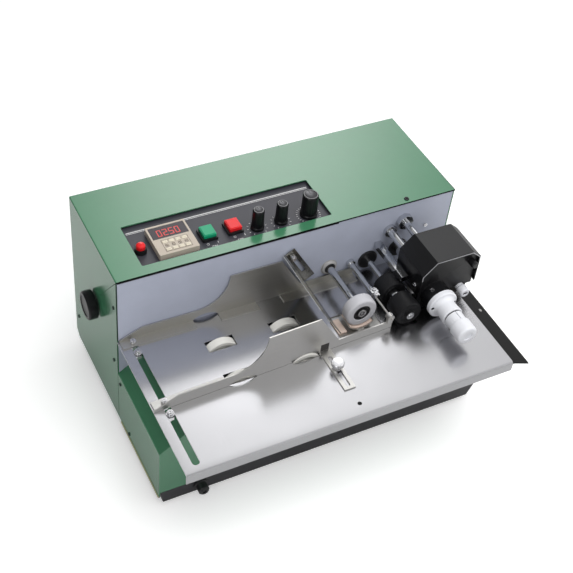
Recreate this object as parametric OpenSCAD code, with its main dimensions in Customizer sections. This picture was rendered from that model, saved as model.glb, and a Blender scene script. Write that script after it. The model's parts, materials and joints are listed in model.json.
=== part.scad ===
// Desktop date coding machine: bags are fed from a hopper between two guides, under a
// feed roller, through press rollers and under a heated type drum to an exit lip.
// Working datum: x from the left side wall, y from the front panel's face towards the
// rear, z from the floor. machine() moves that datum to the middle of the footprint.

/* [Housing] */
// Width of the housing beyond the table's right edge
housing_over = 25.5; // [16:0.5:60]
// Depth of the housing behind the front panel's face
housing_d = 152.5; // [146:0.5:180]
// Height of the top face above the floor
housing_h = 250.5; // [244:0.5:280]
// Thickness of the painted sheet
sheet = 1.5; // [1:0.1:2]
// Thickness of the front panel
panel_t = 3; // [2:0.5:4]
// Height of the side walls' lower edge
side_bottom = 19.5; // [14:0.5:24]
// Cut corner at the rear foot of the side walls
rear_cut = 9; // [4:0.5:12]
// Vent slots in each of the two columns at the rear
vent_rows = 7; // [3:1:10]

/* [Base] */
// Height of the rubber feet
foot_h = 8; // [5:0.5:14]
// Largest diameter of a foot
foot_d = 22; // [16:1:30]
// Distance of the feet from the tray's edges
foot_inset = 30; // [20:1:50]
// Height of the tray
base_h = 20; // [16:0.5:26]
// Width of the tray's rim
base_wall = 4; // [3:0.5:8]
// Thickness of the tray's floor
base_floor = 2; // [1.5:0.5:4]
// Distance of the tray's front from the panel
base_front = 129; // [124:1:140]
// Inward lean of the tray's left side, rear and right end
base_flare = 10; // [4:0.5:14]
// Distance of the fuse holder from the left wall
fuse_x = 52; // [30:1:120]
// Diameter of the fuse holder's cap
fuse_d = 13.5; // [10:0.5:15]
// Length of the fuse holder's cap
fuse_l = 13; // [8:0.5:18]

/* [Lower casing] */
// Height where the left wall turns into the sloped shoulder
shoulder_z = 100; // [80:1:120]
// Rise of the shoulder in degrees
shoulder_angle = 36; // [30:1:42]
// Distance of the casing's right end from the table's right edge
casing_in = 4; // [1:0.5:12]

/* [Table] */
// Height of the table's top face
table_top = 155; // [150:0.5:160]
// Width of the table
table_w = 412; // [404:0.5:420]
// Depth of the table in front of the panel
table_d = 202; // [195:0.5:215]
// Thickness of the table's sheet
table_t = 1.5; // [1:0.1:2]
// Height of the folded front skirt
skirt_h = 14; // [8:0.5:20]
// Outer radius of the fold
bend_r = 3; // [2:0.5:5]
// Distance of the clamp slot from the left edge
slot_x = 16; // [14:0.1:18]
// Width of the clamp slot
slot_w = 8.4; // [7.5:0.1:8.8]
// Distance of the slot's end from the front edge
slot_end = 9.5; // [6:0.5:20]
// Run of the exit lip
lip_w = 25; // [15:0.5:30]
// Drop of the exit lip
lip_drop = 12; // [6:0.5:16]

/* [Feed wheels] */
// Radius of a feed wheel
wheel_r = 21.9; // [21:0.1:22.6]
// Width of a feed wheel
wheel_w = 10.5; // [8:0.5:12]
// Distance of the left wheel column from the left wall
wheel_col1 = 108.5; // [104:0.5:112]
// Place of the right wheel column, as a share of the way to the feed roller
wheel_share = 0.497; // [0.47:0.001:0.53]
// Distance of the rear wheel row from the panel
wheel_row1 = 46.8; // [42:0.2:52]
// Distance of the front wheel row from the panel
wheel_row2 = 99; // [97:0.2:101]
// Length of a wheel window
window_l = 35; // [32:0.5:38]
// Depth of a wheel window
window_d = 16.5; // [14:0.5:18]
// Radius of the wheel and lower roller shafts
shaft_r = 5; // [4:0.5:6]

/* [Rollers] */
// Radius of the press, lower and platen rollers
roller_r = 16.6; // [16:0.1:17]
// Height of the lower rollers above the table's face
roller_proud = 0.1; // [0:0.05:0.3]
// Gap between two rollers that meet
nip = 0.3; // [0.2:0.05:0.5]
// Distance from the press rollers to the type drum
press_gap = 42; // [41:0.5:43]
// Radius of the press shaft
press_shaft_r = 4; // [3:0.5:5]
// Distance from the feed roller to the press rollers
feed_gap = 54.5; // [52:0.5:57]
// Radius of the feed roller
feed_r = 20; // [18:0.5:21]
// Width of the feed roller
feed_w = 15; // [10:0.5:18]
// Distance of the feed roller's front face from the panel
feed_front = 84; // [80:0.5:86]
// Height of the feed roller above the table's face
feed_lift = 2.3; // [2:0.1:3]
// Radius of the feed shaft
feed_shaft_r = 4.5; // [4:0.5:6]
// Thickness of the separator's rubber pad
pad_t = 1.7; // [1:0.1:2]

/* [Guides] */
// Thickness of the guides' sheet
guide_t = 1.5; // [1:0.1:2]
// Height of the guides' low rail
guide_low = 15; // [12:0.5:18]
// Radius of the curve up to the tall part
guide_curve = 42; // [36:0.5:46]
// Distance from the tall part to the right wheel column
guide_tall_in = 51.5; // [44:0.5:56]
// Height of the guides' tail beyond the gate
guide_tail_h = 11; // [8:0.5:12]
// Distance from the tail's end to the press rollers
guide_tail_gap = 20; // [18.5:0.5:24]
// Width of the guides' foot
guide_foot = 12; // [8:0.5:14]
// Front guide's distance from the panel at the left wall
front_guide_y = 112; // [111:0.5:118]
// Skew of the front guide in degrees
front_guide_skew = 2.5; // [1.5:0.1:2.6]
// Distance from the right wheel column to the thumb screw
thumb_gap = 25; // [23:0.5:29]
// Distance of the thumb screw from the panel
thumb_y = 132.2; // [131.7:0.1:134]
// Diameter of the thumb screw's head
thumb_d = 15; // [10:0.5:18]
// Forward travel of the front guide
guide_travel = 17; // [5:0.5:17]

/* [Stop gate] */
// Lean of the gate from the vertical in degrees
gate_tilt = 31.5; // [28:0.5:34]
// Distance from the gate's top edge to the feed roller
gate_gap = 65.8; // [64.5:0.1:69]
// Length of the gate along its lean
gate_l = 61; // [54:0.5:62]
// Width of the gate's bracket on the panel
gate_bracket = 15.5; // [12:0.5:17]
// Reach of the gate in front of the panel
gate_reach = 95; // [60:1:96]
// Thickness of the gate's sheet
gate_t = 1.2; // [1:0.1:2]
// Travel of the gate along its slot
gate_travel = 22; // [4:0.5:22.5]
// Length of the slot that stays free beyond the gate's travel
gate_slot_rest = 12; // [2:0.5:14]
// Height of the folded edge along the top of the gate
gate_hem = 3; // [2:0.5:4]

/* [Print head] */
// Distance of the head's left side from the type drum
head_left = 23.5; // [23:0.1:24]
// Distance of the head's right side from the type drum
head_right = 56; // [55.5:0.1:62]
// Height of the head's top face above the table
head_h = 77.5; // [76:0.5:84]
// Rear of the head's cover, from the panel
head_back = 36; // [33:0.5:37]
// Front of the head's cover, from the panel
head_front = 89.5; // [88.5:0.5:92]
// Thickness of the head's sheet
head_t = 1.2; // [0.8:0.1:1.4]
// Thickness of the head's front plate
head_plate_t = 4; // [3:0.5:4.5]
// Distance of the type drum from the table's right edge
drum_in = 44; // [40:0.5:48]
// Radius of the type drum's body
drum_r = 20; // [18:0.5:20.5]
// Radius over the type
type_r = 22.8; // [22:0.1:23]
// Radius of the type drum's shaft
drum_shaft_r = 6; // [5:0.5:6.5]
// Radius of the ink roll
ink_r = 15.8; // [14:0.1:16]
// Drop of the ink roll's axis below the drum's
ink_drop = 4.5; // [3:0.5:5]
// Radius of the ink roll's spindle
ink_shaft_r = 3; // [2:0.5:4]
// Radius of the white knob's flange
knob_flange_r = 19; // [18:0.5:21.5]
// Length of the white knob
knob_l = 60; // [56:0.5:64]
// Radius of the white knob's neck
knob_neck_r = 12.3; // [11:0.1:12.8]
// Radius of the white knob's end
knob_cap_r = 13; // [12:0.1:14]
// Radius of the left post
post1_r = 4.9; // [4.2:0.1:5]
// Radius of the right post
post2_r = 4.5; // [4.2:0.1:5]

/* [Controls] */
// Left edge of the control window
window_x = 36; // [30:0.5:40]
// Front edge of the control window, from the panel
window_y = 13; // [12:0.5:16]
// Width of the control window
control_w = 237.5; // [232:0.5:250]
// Depth of the control window
control_d = 67.5; // [65:0.5:72]
// Depth of the control plate below the top face
control_recess = 4; // [3:0.5:6]
// Side of the counter's square face
counter_side = 48; // [47:0.5:50]
// Height of the counter's face above the control plate
counter_h = 8; // [6:0.5:10]
// Travel of the push buttons
button_travel = 2.5; // [1:0.5:3]
// Travel of the preset keys
key_travel = 0.8; // [0.4:0.1:1]
// Diameter of the two small dials
dial_d = 14.5; // [12:0.5:18]
// Height of the two small dials
dial_h = 28; // [20:0.5:32]
// Diameter of the large dial
dial_big_d = 19.5; // [16:0.5:22]
// Height of the large dial
dial_big_h = 31; // [22:0.5:36]

/* [Drive] */
// Radius of the belt pulleys
pulley_r = 9; // [8:0.5:10]
// Teeth of each gear
gear_teeth = 24; // [20:4:28]
// Radius of the motor shaft
motor_shaft_r = 4; // [3:0.5:5]
// Distance of the hand knob's axis from the panel
hand_y = 70.5; // [68:0.5:76]
// Height of the hand knob's axis
hand_z = 151; // [148:0.5:156]
// Radius of the hand knob
hand_r = 18; // [14:0.5:22]
// Length of the hand knob
hand_l = 12; // [11:0.5:16]

/* [Hidden] */
$fn = 48;
fit = 0.05;          // running clearance, radial
keyed = 0.02;        // clearance of a piece fixed on its shaft
seat = 0.2;          // gap between pieces that lie on each other and slide
side_gap = 0.3;      // gap of a plate inside a shell
hand_gap = 2;        // hand knob to side wall
inlet_proud = 2;     // inlet flange behind the rear wall
housing_w = table_w + housing_over;
centre_x = (housing_w - hand_l - hand_gap) / 2;
casing_w = table_w - casing_in;
drum_x = table_w - drum_in;
press_x = drum_x - press_gap;
feed_x = press_x - feed_gap;
wheel_col2 = wheel_col1 + wheel_share * (feed_x - wheel_col1);
guide_tall_x = wheel_col2 - guide_tall_in;
guide_tail_x = press_x - guide_tail_gap;
thumb_x = wheel_col2 + thumb_gap;
gate_x = feed_x - gate_gap;
head_x0 = drum_x - head_left;
head_x1 = drum_x + head_right;
centre_y = (housing_d + inlet_proud - table_d) / 2;
base_top = foot_h + base_h;
floor_top = foot_h + base_floor;
table_under = table_top - table_t;
inner_top = housing_h - sheet;
drive_z = table_top + roller_proud - roller_r;
press_z = table_top + roller_proud + nip + roller_r;
feed_z = table_top + feed_lift + feed_r;
drum_z = table_top + roller_proud + nip + type_r;
ink_z = drum_z - ink_drop;
ink_x = drum_x + sqrt(pow(type_r + nip + ink_r, 2) - pow(ink_drop, 2));
wheel_cols = [wheel_col1, wheel_col2];
wheel_rows = [-wheel_row1, -wheel_row2];
axle_end = -116;     // front end of the lower shafts
bearing_y = [-116, -112];
pulley_y = [16, 26];
gear_a_y = [30, 37];
gear_b_y = [40, 47];
gearbox_y = [52, 92];
roller_y = [-102, -44];
platen_y = [-80, -44];
head_plate_y = [4 - head_front, 4 - head_front + head_plate_t];
drum_y = [head_plate_y[1] + 4, -head_back - 8];
knob_y = -103;
knob_groove = [27, 28.6];
knob_cap_l = 19;
rod_x = press_x - 25;
rod_z = table_top + 20;
rod_r = 3.5;
wire_r = 1.3;
collar_y = [-68, -50];
gate_z = table_top + guide_tail_h + 1.5 + gate_l * cos(gate_tilt);
gate_slot_w = 5.2;
gate_slot_l = gate_travel + gate_slot_rest;
gate_screw_r = gate_slot_w / 2 - 0.1;
gate_screw_down = 8;
guide_tall = guide_low + guide_curve;
guide_right = gate_x + tan(gate_tilt) * (gate_z - table_top - guide_tall) - 6;
arch_r = wheel_r + 2;
bolt_r = 2.4;
bolt_head = 3.6;
control_z = housing_h - control_recess;
control_t = 2;
counter_x = window_x + 22.9;
counter_y = window_y + 3.9;
key_cols = 4;
key_pitch = 7.8;
key_w = 6.2;
key_d = 4.4;
key_x0 = counter_x + 9.6 + key_pitch / 2;
key_row_y = [counter_y + 19.4, counter_y + 7];
reset_pos = [window_x + 8.5, window_y + 26];
start_pos = [window_x + 88.5, window_y + 23.5];
stop_pos = [window_x + 120.5, window_y + 23.5];
dial_pos = [[window_x + 147.5, window_y + 14.5], [window_x + 178, window_y + 14.5],
    [window_x + 214, window_y + 14]];
push_w = 15.5;
push_d = 17.5;
motor_x = [130, 240];
motor_r = 30;
gearbox_x = [press_x - 23, press_x + 23];
inlet_x = housing_w - 60;
inlet_z = 70;
inlet_w = 27;
inlet_h = 20;
board_x = 40;
board_y = housing_d - 14;
board_z = 70;
fuse_z = foot_h + 11;
head_top = table_top + head_h;
chamfer_l = [17, 17.5];
chamfer_r = [12, 10.5];
post1 = [head_x0 + head_t + side_gap + post1_r, head_top - chamfer_l[1] - 3];
post2 = [drum_x + 1.2, head_top - 10];

// Placing helpers
module machine() translate([-centre_x, -centre_y, 0]) children();
module along_y(y0, y1) translate([0, y1, 0]) rotate([90, 0, 0]) linear_extrude(y1 - y0) children();
module along_x(x0, x1) translate([x0, 0, 0]) rotate([90, 0, 90]) linear_extrude(x1 - x0) children();
module y_rod(x, z, r, y0, y1) translate([x, y1, z]) rotate([90, 0, 0]) cylinder(r = r, h = y1 - y0);
module x_rod(y, z, r, x0, x1) translate([x0, y, z]) rotate([0, 90, 0]) cylinder(r = r, h = x1 - x0);
module y_turned(x, z, y) translate([x, y, z]) rotate([90, 0, 0]) rotate_extrude() children();
module block(p, q) translate(p) cube(q - p);

// Flat outlines
module rounded(w, d, r) {
    translate([r, 0]) square([w - 2 * r, d]);
    translate([0, r]) square([w, d - 2 * r]);
    for (x = [r, w - r], y = [r, d - r]) translate([x, y]) circle(r);
}
module stadium(l, r) {
    translate([0, -r]) square([l, 2 * r]);
    circle(r);
    translate([l, 0]) circle(r);
}
module spur_outline(n, pitch, phase) {
    m = 2 * pitch / n;
    a = 360 / n;
    polygon([for (i = [0:n - 1]) each [for (s = [[-0.36, -1.25], [-0.11, 0.85], [0.11, 0.85], [0.36,
        -1.25]])
        (pitch + s[1] * m) * [cos(phase + (i + s[0]) * a), sin(phase + (i + s[0]) * a)]]]);
}

// Shared pieces of the drive
module pulley(x, z, bore) {
    flange = 1;
    rim = 2;
    difference() {
        union() {
            y_rod(x, z, pulley_r, pulley_y[0], pulley_y[1]);
            y_rod(x, z, pulley_r + rim, pulley_y[0], pulley_y[0] + flange);
            y_rod(x, z, pulley_r + rim, pulley_y[1] - flange, pulley_y[1]);
        }
        if (bore > 0) y_rod(x, z, bore, pulley_y[0] - 1, pulley_y[1] + 1);
    }
}
module spur(x, z, pitch, phase, span) along_y(span[0], span[1]) translate([x, z])
    spur_outline(gear_teeth, pitch, phase);
module belt(p, q) {
    gap = 0.3;
    thick = 1.3;
    d = q - p;
    along_y(pulley_y[0] + 1.3, pulley_y[1] - 1.3) translate(p) rotate(atan2(d[1], d[0])) difference() {
        stadium(norm(d), pulley_r + gap + thick);
        stadium(norm(d), pulley_r + gap);
    }
}

// Casing
module base_tray() color("#2b2a2f") machine() difference() {
    union() {
        intersection() {
            along_y(-base_front, housing_d) polygon([[base_flare / 2, foot_h], [housing_w - base_flare,
                foot_h],
                [housing_w - sheet - side_gap, base_top], [sheet + side_gap, base_top]]);
            along_x(0, housing_w) polygon([[-base_front, foot_h], [housing_d - base_flare - sheet,
                foot_h],
                [housing_d - sheet - side_gap, base_top], [-base_front, base_top]]);
        }
        block([base_flare, housing_d - sheet - side_gap - base_wall, base_top - 1],
            [housing_w - base_flare, housing_d - sheet - side_gap, base_top + rear_cut]);
    }
    block([base_flare / 2 + base_wall, base_wall - base_front, floor_top],
        [casing_w - sheet - base_wall, housing_d - base_flare - sheet - base_wall,
            base_top + rear_cut + 1]);
    y_rod(fuse_x, fuse_z, fuse_d / 2 - 0.5, -base_front - 1, base_wall - base_front + 1);
}
module rubber_feet() color("#151515") machine()
    for (x = [base_flare + foot_inset, housing_w - base_flare - foot_inset],
         y = [foot_inset - base_front, housing_d - base_flare - foot_inset])
        translate([x, y, 0]) rotate_extrude() polygon([[3, 0], [foot_d / 2 - 1, 0], [foot_d / 2, 1],
            [foot_d / 2 - 2, foot_h], [0, foot_h], [0, foot_h / 2], [3, foot_h / 2]]);
module fuse_holder() color("#101012") machine() {
    r = fuse_d / 2;
    y_turned(fuse_x, fuse_z, -base_front) polygon([[0, -18], [r - 0.7, -18], [r - 0.7, 0], [r + 2, 0],
        [r + 2, 2], [r, 2.5], [r, fuse_l - 2], [r - 2, fuse_l], [2.5, fuse_l], [2.5, fuse_l - 1.5],
        [0, fuse_l - 1.5]]);
}
module lower_casing() color("#2f7a4f") machine() {
    rise = tan(shoulder_angle);
    slope_x = (table_under - shoulder_z) / rise;
    inner_z = shoulder_z + rise * sheet - sheet / cos(shoulder_angle);
    over = 12;
    difference() {
        along_y(-base_front, -seat) polygon([[0, side_bottom], [0, shoulder_z], [slope_x, table_under],
            [casing_w, table_under], [casing_w, base_top], [sheet, base_top], [sheet, side_bottom]]);
        along_y(sheet - base_front, 1) polygon([[sheet, side_bottom - 1], [sheet, inner_z],
            [sheet + over + slope_x, inner_z + rise * (over + slope_x)],
            [casing_w - sheet, inner_z + rise * (over + slope_x)], [casing_w - sheet, side_bottom - 1]]);
    }
}
module front_panel() color("#8f95a5") machine() difference() {
    block([sheet + side_gap, 0, base_top], [housing_w - sheet - side_gap, panel_t, inner_top]);
    for (b = bearings) y_rod(b[0], b[1], b[2] + bush_wall + fit, -1, panel_t + 1);
    for (p = [post1, post2]) y_rod(p[0], p[1], stud_r + fit, -1, panel_t + 1);
    y_rod(rod_x, rod_z, rod_r + fit, -1, panel_t + 1);
    gate_frame() translate([gate_bracket / 2, -gate_screw_down]) circle(gate_screw_r + fit);
}
module top_cover() color("#4f9a6c") machine() difference() {
    along_x(0, housing_w) polygon([[0, side_bottom], [housing_d - rear_cut, side_bottom],
        [housing_d, side_bottom + rear_cut], [housing_d, housing_h], [-1, housing_h], [-1, inner_top],
        [0, inner_top]]);
    block([sheet, -2, 0], [housing_w - sheet, housing_d - sheet, inner_top]);
    translate([window_x, window_y, inner_top - 1]) linear_extrude(sheet + 2) rounded(control_w,
        control_d, 2);
    x_rod(hand_y, hand_z, motor_shaft_r + 1, -1, sheet + 1);
    translate([inlet_x - inlet_w / 2, housing_d - sheet - 1, inlet_z - inlet_h / 2])
        cube([inlet_w, sheet + 2, inlet_h]);
    for (x = [housing_w * 0.3, housing_w * 0.6], i = [0:vent_rows - 1])
        along_y(housing_d - sheet - 1, housing_d + 1) translate([x - 20,
            housing_h / 2 + i * 9]) stadium(40, 1.75);
}

// Controls on the top
module control_plate() color("#3f3f46") machine() {
    margin = 6;
    difference() {
        block([window_x - margin, window_y - margin, control_z - control_t],
            [window_x + control_w + margin, window_y + control_d + margin, control_z]);
        translate([counter_x, counter_y, control_z - control_t - 1]) translate([1.5, 1.5, 0])
            cube([counter_side - 3, counter_side - 3, control_t + 2]);
        for (p = concat([reset_pos, start_pos, stop_pos], dial_pos))
            translate([p[0], p[1], control_z - control_t - 1]) cylinder(r = 4.2, h = control_t + 2);
    }
    for (x = [window_x - margin / 2, window_x + control_w + margin / 2],
         y = [window_y - margin / 2, window_y + control_d + margin / 2])
        translate([x, y, control_z]) cylinder(r = 2.5, h = inner_top - control_z);
}
module counter_case() color("#cfc6b2") machine() difference() {
    body_l = 62;
    under = 1.8;
    union() {
        translate([counter_x, counter_y, control_z]) linear_extrude(counter_h)
            rounded(counter_side, counter_side, 1.2);
        translate([counter_x + under, counter_y + under, control_z - body_l])
            cube([counter_side - 2 * under, counter_side - 2 * under, body_l + 1]);
    }
    translate([counter_x + 2.4, counter_y + 26, control_z + counter_h - 1.2])
        cube([counter_side - 4.8, 19.5, 5]);
    for (y = key_row_y, i = [0:key_cols - 1])
        translate([key_x0 + i * key_pitch - key_w / 2 - seat, y - key_d / 2 - seat,
            control_z + counter_h - 4])
            cube([key_w + 2 * seat, key_d + 2 * seat, 5]);
    for (i = [0:key_cols - 1])
        translate([key_x0 + i * key_pitch - 1.9, (key_row_y[0] + key_row_y[1]) / 2 - 2.4,
            control_z + counter_h - 1])
            cube([3.8, 4.8, 2]);
}
module counter_window() color("#3a2024") machine()
    translate([counter_x + 2.6, counter_y + 26.2, control_z + counter_h - 1.2])
        linear_extrude(1) rounded(counter_side - 5.2, 19.1, 0.8);
module key_row(y) machine() for (i = [0:key_cols - 1])
    translate([key_x0 + i * key_pitch, y, control_z + counter_h - 3]) {
        translate([-key_w / 2, -key_d / 2, 0]) cube([key_w, key_d, 3.4]);
        translate([-key_w / 2 + 0.8, -0.5, 3]) cube([key_w - 1.6, 1, 0.9]);
    }
module keys_plus() color("#ddd3bb") key_row(key_row_y[0]);
module keys_minus() color("#ddd3bb") key_row(key_row_y[1]);
module button_collars() color("#121214") machine() {
    translate([reset_pos[0], reset_pos[1], control_z]) rotate_extrude() polygon([[4 + fit, -14], [4.15,
        -14],
        [4.15, 0], [7.2, 0], [7.2, 2.5], [6.4, 6], [5.6, 6], [5.6, 1.5], [4 + fit, 1.5]]);
    for (p = [start_pos, stop_pos]) translate([p[0], p[1], control_z]) difference() {
        union() {
            translate([-push_w / 2 - 1.8, -push_d / 2 - 1.8, 0]) linear_extrude(4)
                rounded(push_w + 3.6, push_d + 3.6, 1.2);
            translate([0, 0, -16]) cylinder(r = 4.15, h = 17);
        }
        translate([-push_w / 2 - seat, -push_d / 2 - seat, 1]) cube([push_w + 2 * seat,
            push_d + 2 * seat, 5]);
        translate([0, 0, -17]) cylinder(r = 2.5 + fit, h = 20);
    }
}
module reset_button() color("#d3202a") machine() translate([reset_pos[0], reset_pos[1], control_z])
    rotate_extrude() polygon([[0, -12], [4, -12], [4, 2 + button_travel], [5.3, 2 + button_travel],
        [5.3, 9.5],
        [4.6, 10.8], [3.2, 11.6], [0, 12]]);
module push_cap(p) machine() translate([p[0], p[1], control_z]) {
    low = 1.5 + button_travel;
    translate([-push_w / 2, -push_d / 2, low]) linear_extrude(8.2 - low) rounded(push_w, push_d, 1);
    translate([1 - push_w / 2, 1 - push_d / 2, 8]) linear_extrude(1) rounded(push_w - 2, push_d - 2, 0.8);
    translate([0, 0, -12]) cylinder(r = 2.5, h = 12 + low + 1);
}
module start_button() color("#10a06a") push_cap(start_pos);
module stop_button() color("#e0303a") push_cap(stop_pos);
module dial(p, d, h) machine() translate([p[0], p[1], control_z]) {
    lift = 0.3;
    r = d / 2;
    flutes = 18;
    difference() {
        rotate_extrude() polygon([[0, lift], [r + 0.8, lift], [r + 0.8, 3.5], [r, 4.5], [r - 0.4,
            h - 1.2],
            [r - 1.2, h], [r - 2, h], [r - 2, h - 0.6], [0, h - 0.6]]);
        for (i = [0:flutes - 1]) rotate(i * 360 / flutes) translate([r + 0.35, 0, 6]) cylinder(r = 0.8,
            h = h - 9);
    }
    translate([0, 0, -14]) cylinder(r = 4.2 - fit, h = 14 + lift + 0.5);
}
module temperature_dial() color("#17171a") dial(dial_pos[0], dial_d, dial_h);
module position_dial() color("#17171a") dial(dial_pos[1], dial_d, dial_h);
module speed_dial() color("#17171a") dial(dial_pos[2], dial_big_d, dial_big_h);

// Motor, gearbox and electrics
module hand_knob() color("#141416") machine() difference() {
    translate([-hand_gap, hand_y, hand_z]) rotate([0, -90, 0]) rotate_extrude() polygon([[0, 0],
        [hand_r - 1, 0],
        [hand_r, 1], [hand_r, hand_l - 1.5], [hand_r - 1.5, hand_l], [hand_r - 4, hand_l], [hand_r - 5,
            hand_l - 1],
        [0, hand_l - 1]]);
    x_rod(hand_y, hand_z, motor_shaft_r + keyed, 2 - hand_l - hand_gap, 1);
}
module motor_shaft() color("#b9bcc0") machine()
    x_rod(hand_y, hand_z, motor_shaft_r, 3 - hand_l - hand_gap, gearbox_x[1] - 4);
module gear_motor() color("#3b3d42") machine() difference() {
    union() {
        x_rod(hand_y, hand_z, motor_r, motor_x[0], motor_x[1]);
        x_rod(hand_y, hand_z, motor_r * 0.45, motor_x[0] - 8, motor_x[1] + 8);
        block([motor_x[0] + 20, hand_y - 22, floor_top], [motor_x[1] - 20, hand_y + 22, hand_z - 10]);
    }
    x_rod(hand_y, hand_z, motor_shaft_r + fit, motor_x[0] - 9, motor_x[1] + 9);
}
module gearbox() color("#6a6d72") machine() difference() {
    union() {
        block([gearbox_x[0], gearbox_y[0], floor_top + 6], [gearbox_x[1], gearbox_y[1], hand_z + 22]);
        block([gearbox_x[0] - 10, gearbox_y[0], floor_top], [gearbox_x[1] + 10, gearbox_y[1],
            floor_top + 6]);
    }
    x_rod(hand_y, hand_z, motor_shaft_r + fit, gearbox_x[0] - 1, gearbox_x[1] - 3);
    y_rod(press_x, drive_z, shaft_r + fit, gearbox_y[0] - 1, gearbox_y[0] + 11);
}
module drive_belts() color("#1d1d1f") machine() {
    belt([wheel_col1, drive_z], [drum_x, drive_z]);
    belt([feed_x, feed_z], [press_x, press_z]);
}
module control_board() color("#1f6b3a") machine() {
    w = 120;
    h = 80;
    t = 1.6;
    block([board_x, board_y, board_z], [board_x + w, board_y + t, board_z + h]);
    for (x = [board_x + 6, board_x + w - 6], z = [board_z + 6, board_z + h - 6])
        y_rod(x, z, 3, board_y + t - 0.5, housing_d - sheet);
    block([board_x + 20, board_y - 16, board_z + 18], [board_x + 50, board_y + 0.5, board_z + 42]);
    for (i = [0:2]) y_rod(board_x + 70 + i * 16, board_z + 55, 6, board_y - 18, board_y + 0.5);
}
module transformer() color("#8a8378") machine() {
    x = casing_w - sheet - base_wall - 52;
    y = housing_d - 62;
    block([x, y + 8, floor_top], [x + 50, y + 36, floor_top + 44]);
    block([x + 9, y, floor_top + 9], [x + 41, y + 44, floor_top + 35]);
}
module power_inlet() color("#141414") machine() difference() {
    union() {
        along_y(housing_d, housing_d + inlet_proud) translate([inlet_x - 24, inlet_z - 14]) rounded(48,
            28, 5);
        block([inlet_x - inlet_w / 2 + seat, housing_d - 24, inlet_z - inlet_h / 2 + seat],
            [inlet_x + inlet_w / 2 - seat, housing_d + 1, inlet_z + inlet_h / 2 - seat]);
    }
    block([inlet_x - inlet_w / 2 + 1.8, housing_d - 15, inlet_z - inlet_h / 2 + 1.8],
        [inlet_x + inlet_w / 2 - 1.8, housing_d + inlet_proud + 1, inlet_z + inlet_h / 2 - 1.8]);
    for (x = [-18, 18]) y_rod(inlet_x + x, inlet_z, 1.75, housing_d - 1, housing_d + inlet_proud + 1);
}

// Table
module table_cuts() {
    translate([slot_x, slot_end + slot_w / 2 - table_d]) rotate(90)
        stadium(table_d - slot_end - slot_w - 5, slot_w / 2);
    for (x = wheel_cols, y = wheel_rows) translate([x - window_l / 2,
        y - window_d / 2]) square([window_l, window_d]);
    translate([feed_x - sep_left, sep_y[0]]) square([sep_left + sep_right, sep_y[1] - sep_y[0]]);
    translate([press_x - 13, roller_y[0] - 2]) square([26, roller_y[1] - roller_y[0] + 4]);
    translate([drum_x - 13, platen_y[0] - 2]) square([26, platen_y[1] - platen_y[0] + 4]);
    translate([thumb_x, -thumb_y]) circle(2.5 + fit);
    translate([thumb_x, -thumb_y - 54]) circle(2.5 + fit);
}
module work_table() color("#c2c2c6") machine() difference() {
    union() {
        translate([0, bend_r - table_d, table_under]) cube([table_w, table_d - bend_r - seat, table_t]);
        block([0, -table_d, table_top - skirt_h], [table_w, table_t - table_d, table_top - bend_r]);
        along_x(0, table_w) translate([bend_r - table_d, table_top - bend_r]) intersection() {
            difference() {
                circle(bend_r);
                circle(bend_r - table_t);
            }
            translate([-bend_r, 0]) square(bend_r);
        }
    }
    translate([0, 0, table_under - 1]) linear_extrude(table_t + 2) table_cuts();
}
module exit_lip() color("#3c3c3e") machine() {
    t = 1.5;
    rear = -14;
    tongue = 0.5;
    along_y(-table_d, rear) polygon([[table_w, table_top], [table_w + lip_w, table_top - lip_drop],
        [table_w + lip_w, table_top - lip_drop - t], [table_w + 1, table_under - t],
        [table_w, table_under - t]]);
    block([casing_w + side_gap, bend_r - table_d + side_gap, table_under - t],
        [table_w + tongue, rear, table_under]);
}

// Guides and gate
module guide_outline(skew_stretch, arches) {
    end_h = 2;
    taper = 30;
    slope = tan(gate_tilt) * (guide_tall - guide_tail_h);
    difference() {
        union() {
            polygon([[0, 0], [0, end_h], [taper, guide_low], [guide_tall_x, guide_low], [guide_tall_x,
                0]]);
            polygon([[guide_tall_x - guide_curve, 0], [guide_tall_x - guide_curve, guide_tall],
                [guide_right, guide_tall], [guide_right + slope, guide_tail_h], [guide_tail_x,
                    guide_tail_h],
                [guide_tail_x, 0]]);
        }
        translate([guide_tall_x - guide_curve, guide_tall]) circle(guide_curve, $fn = 96);
        for (x = arches) translate([x * skew_stretch, drive_z - table_top]) circle(arch_r);
    }
}
module guide_feet(spans) difference() {
    for (p = spans) translate([p[0], 0]) square([p[1] - p[0], guide_foot + 1]);
    translate([slot_x, guide_foot / 2 + 1]) circle(bolt_r + 0.1);
}
module rear_guide() color("#b9b7b0") machine() translate([0, 0, table_top]) {
    back = 1.2;
    notch = 16;
    along_y(-back - guide_t, -back) translate([2, 0]) intersection() {
        translate([-2, 0]) guide_outline(1, [wheel_col1]);
        square([guide_tail_x, guide_tall + 1]);
    }
    translate([0, -back - guide_t + 0.5, 0]) mirror([0, 1, 0]) linear_extrude(guide_t)
        guide_feet([[2, wheel_col1 - notch], [wheel_col1 + notch, wheel_col2 - notch],
            [wheel_col2 + notch, guide_tail_x]]);
}
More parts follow.
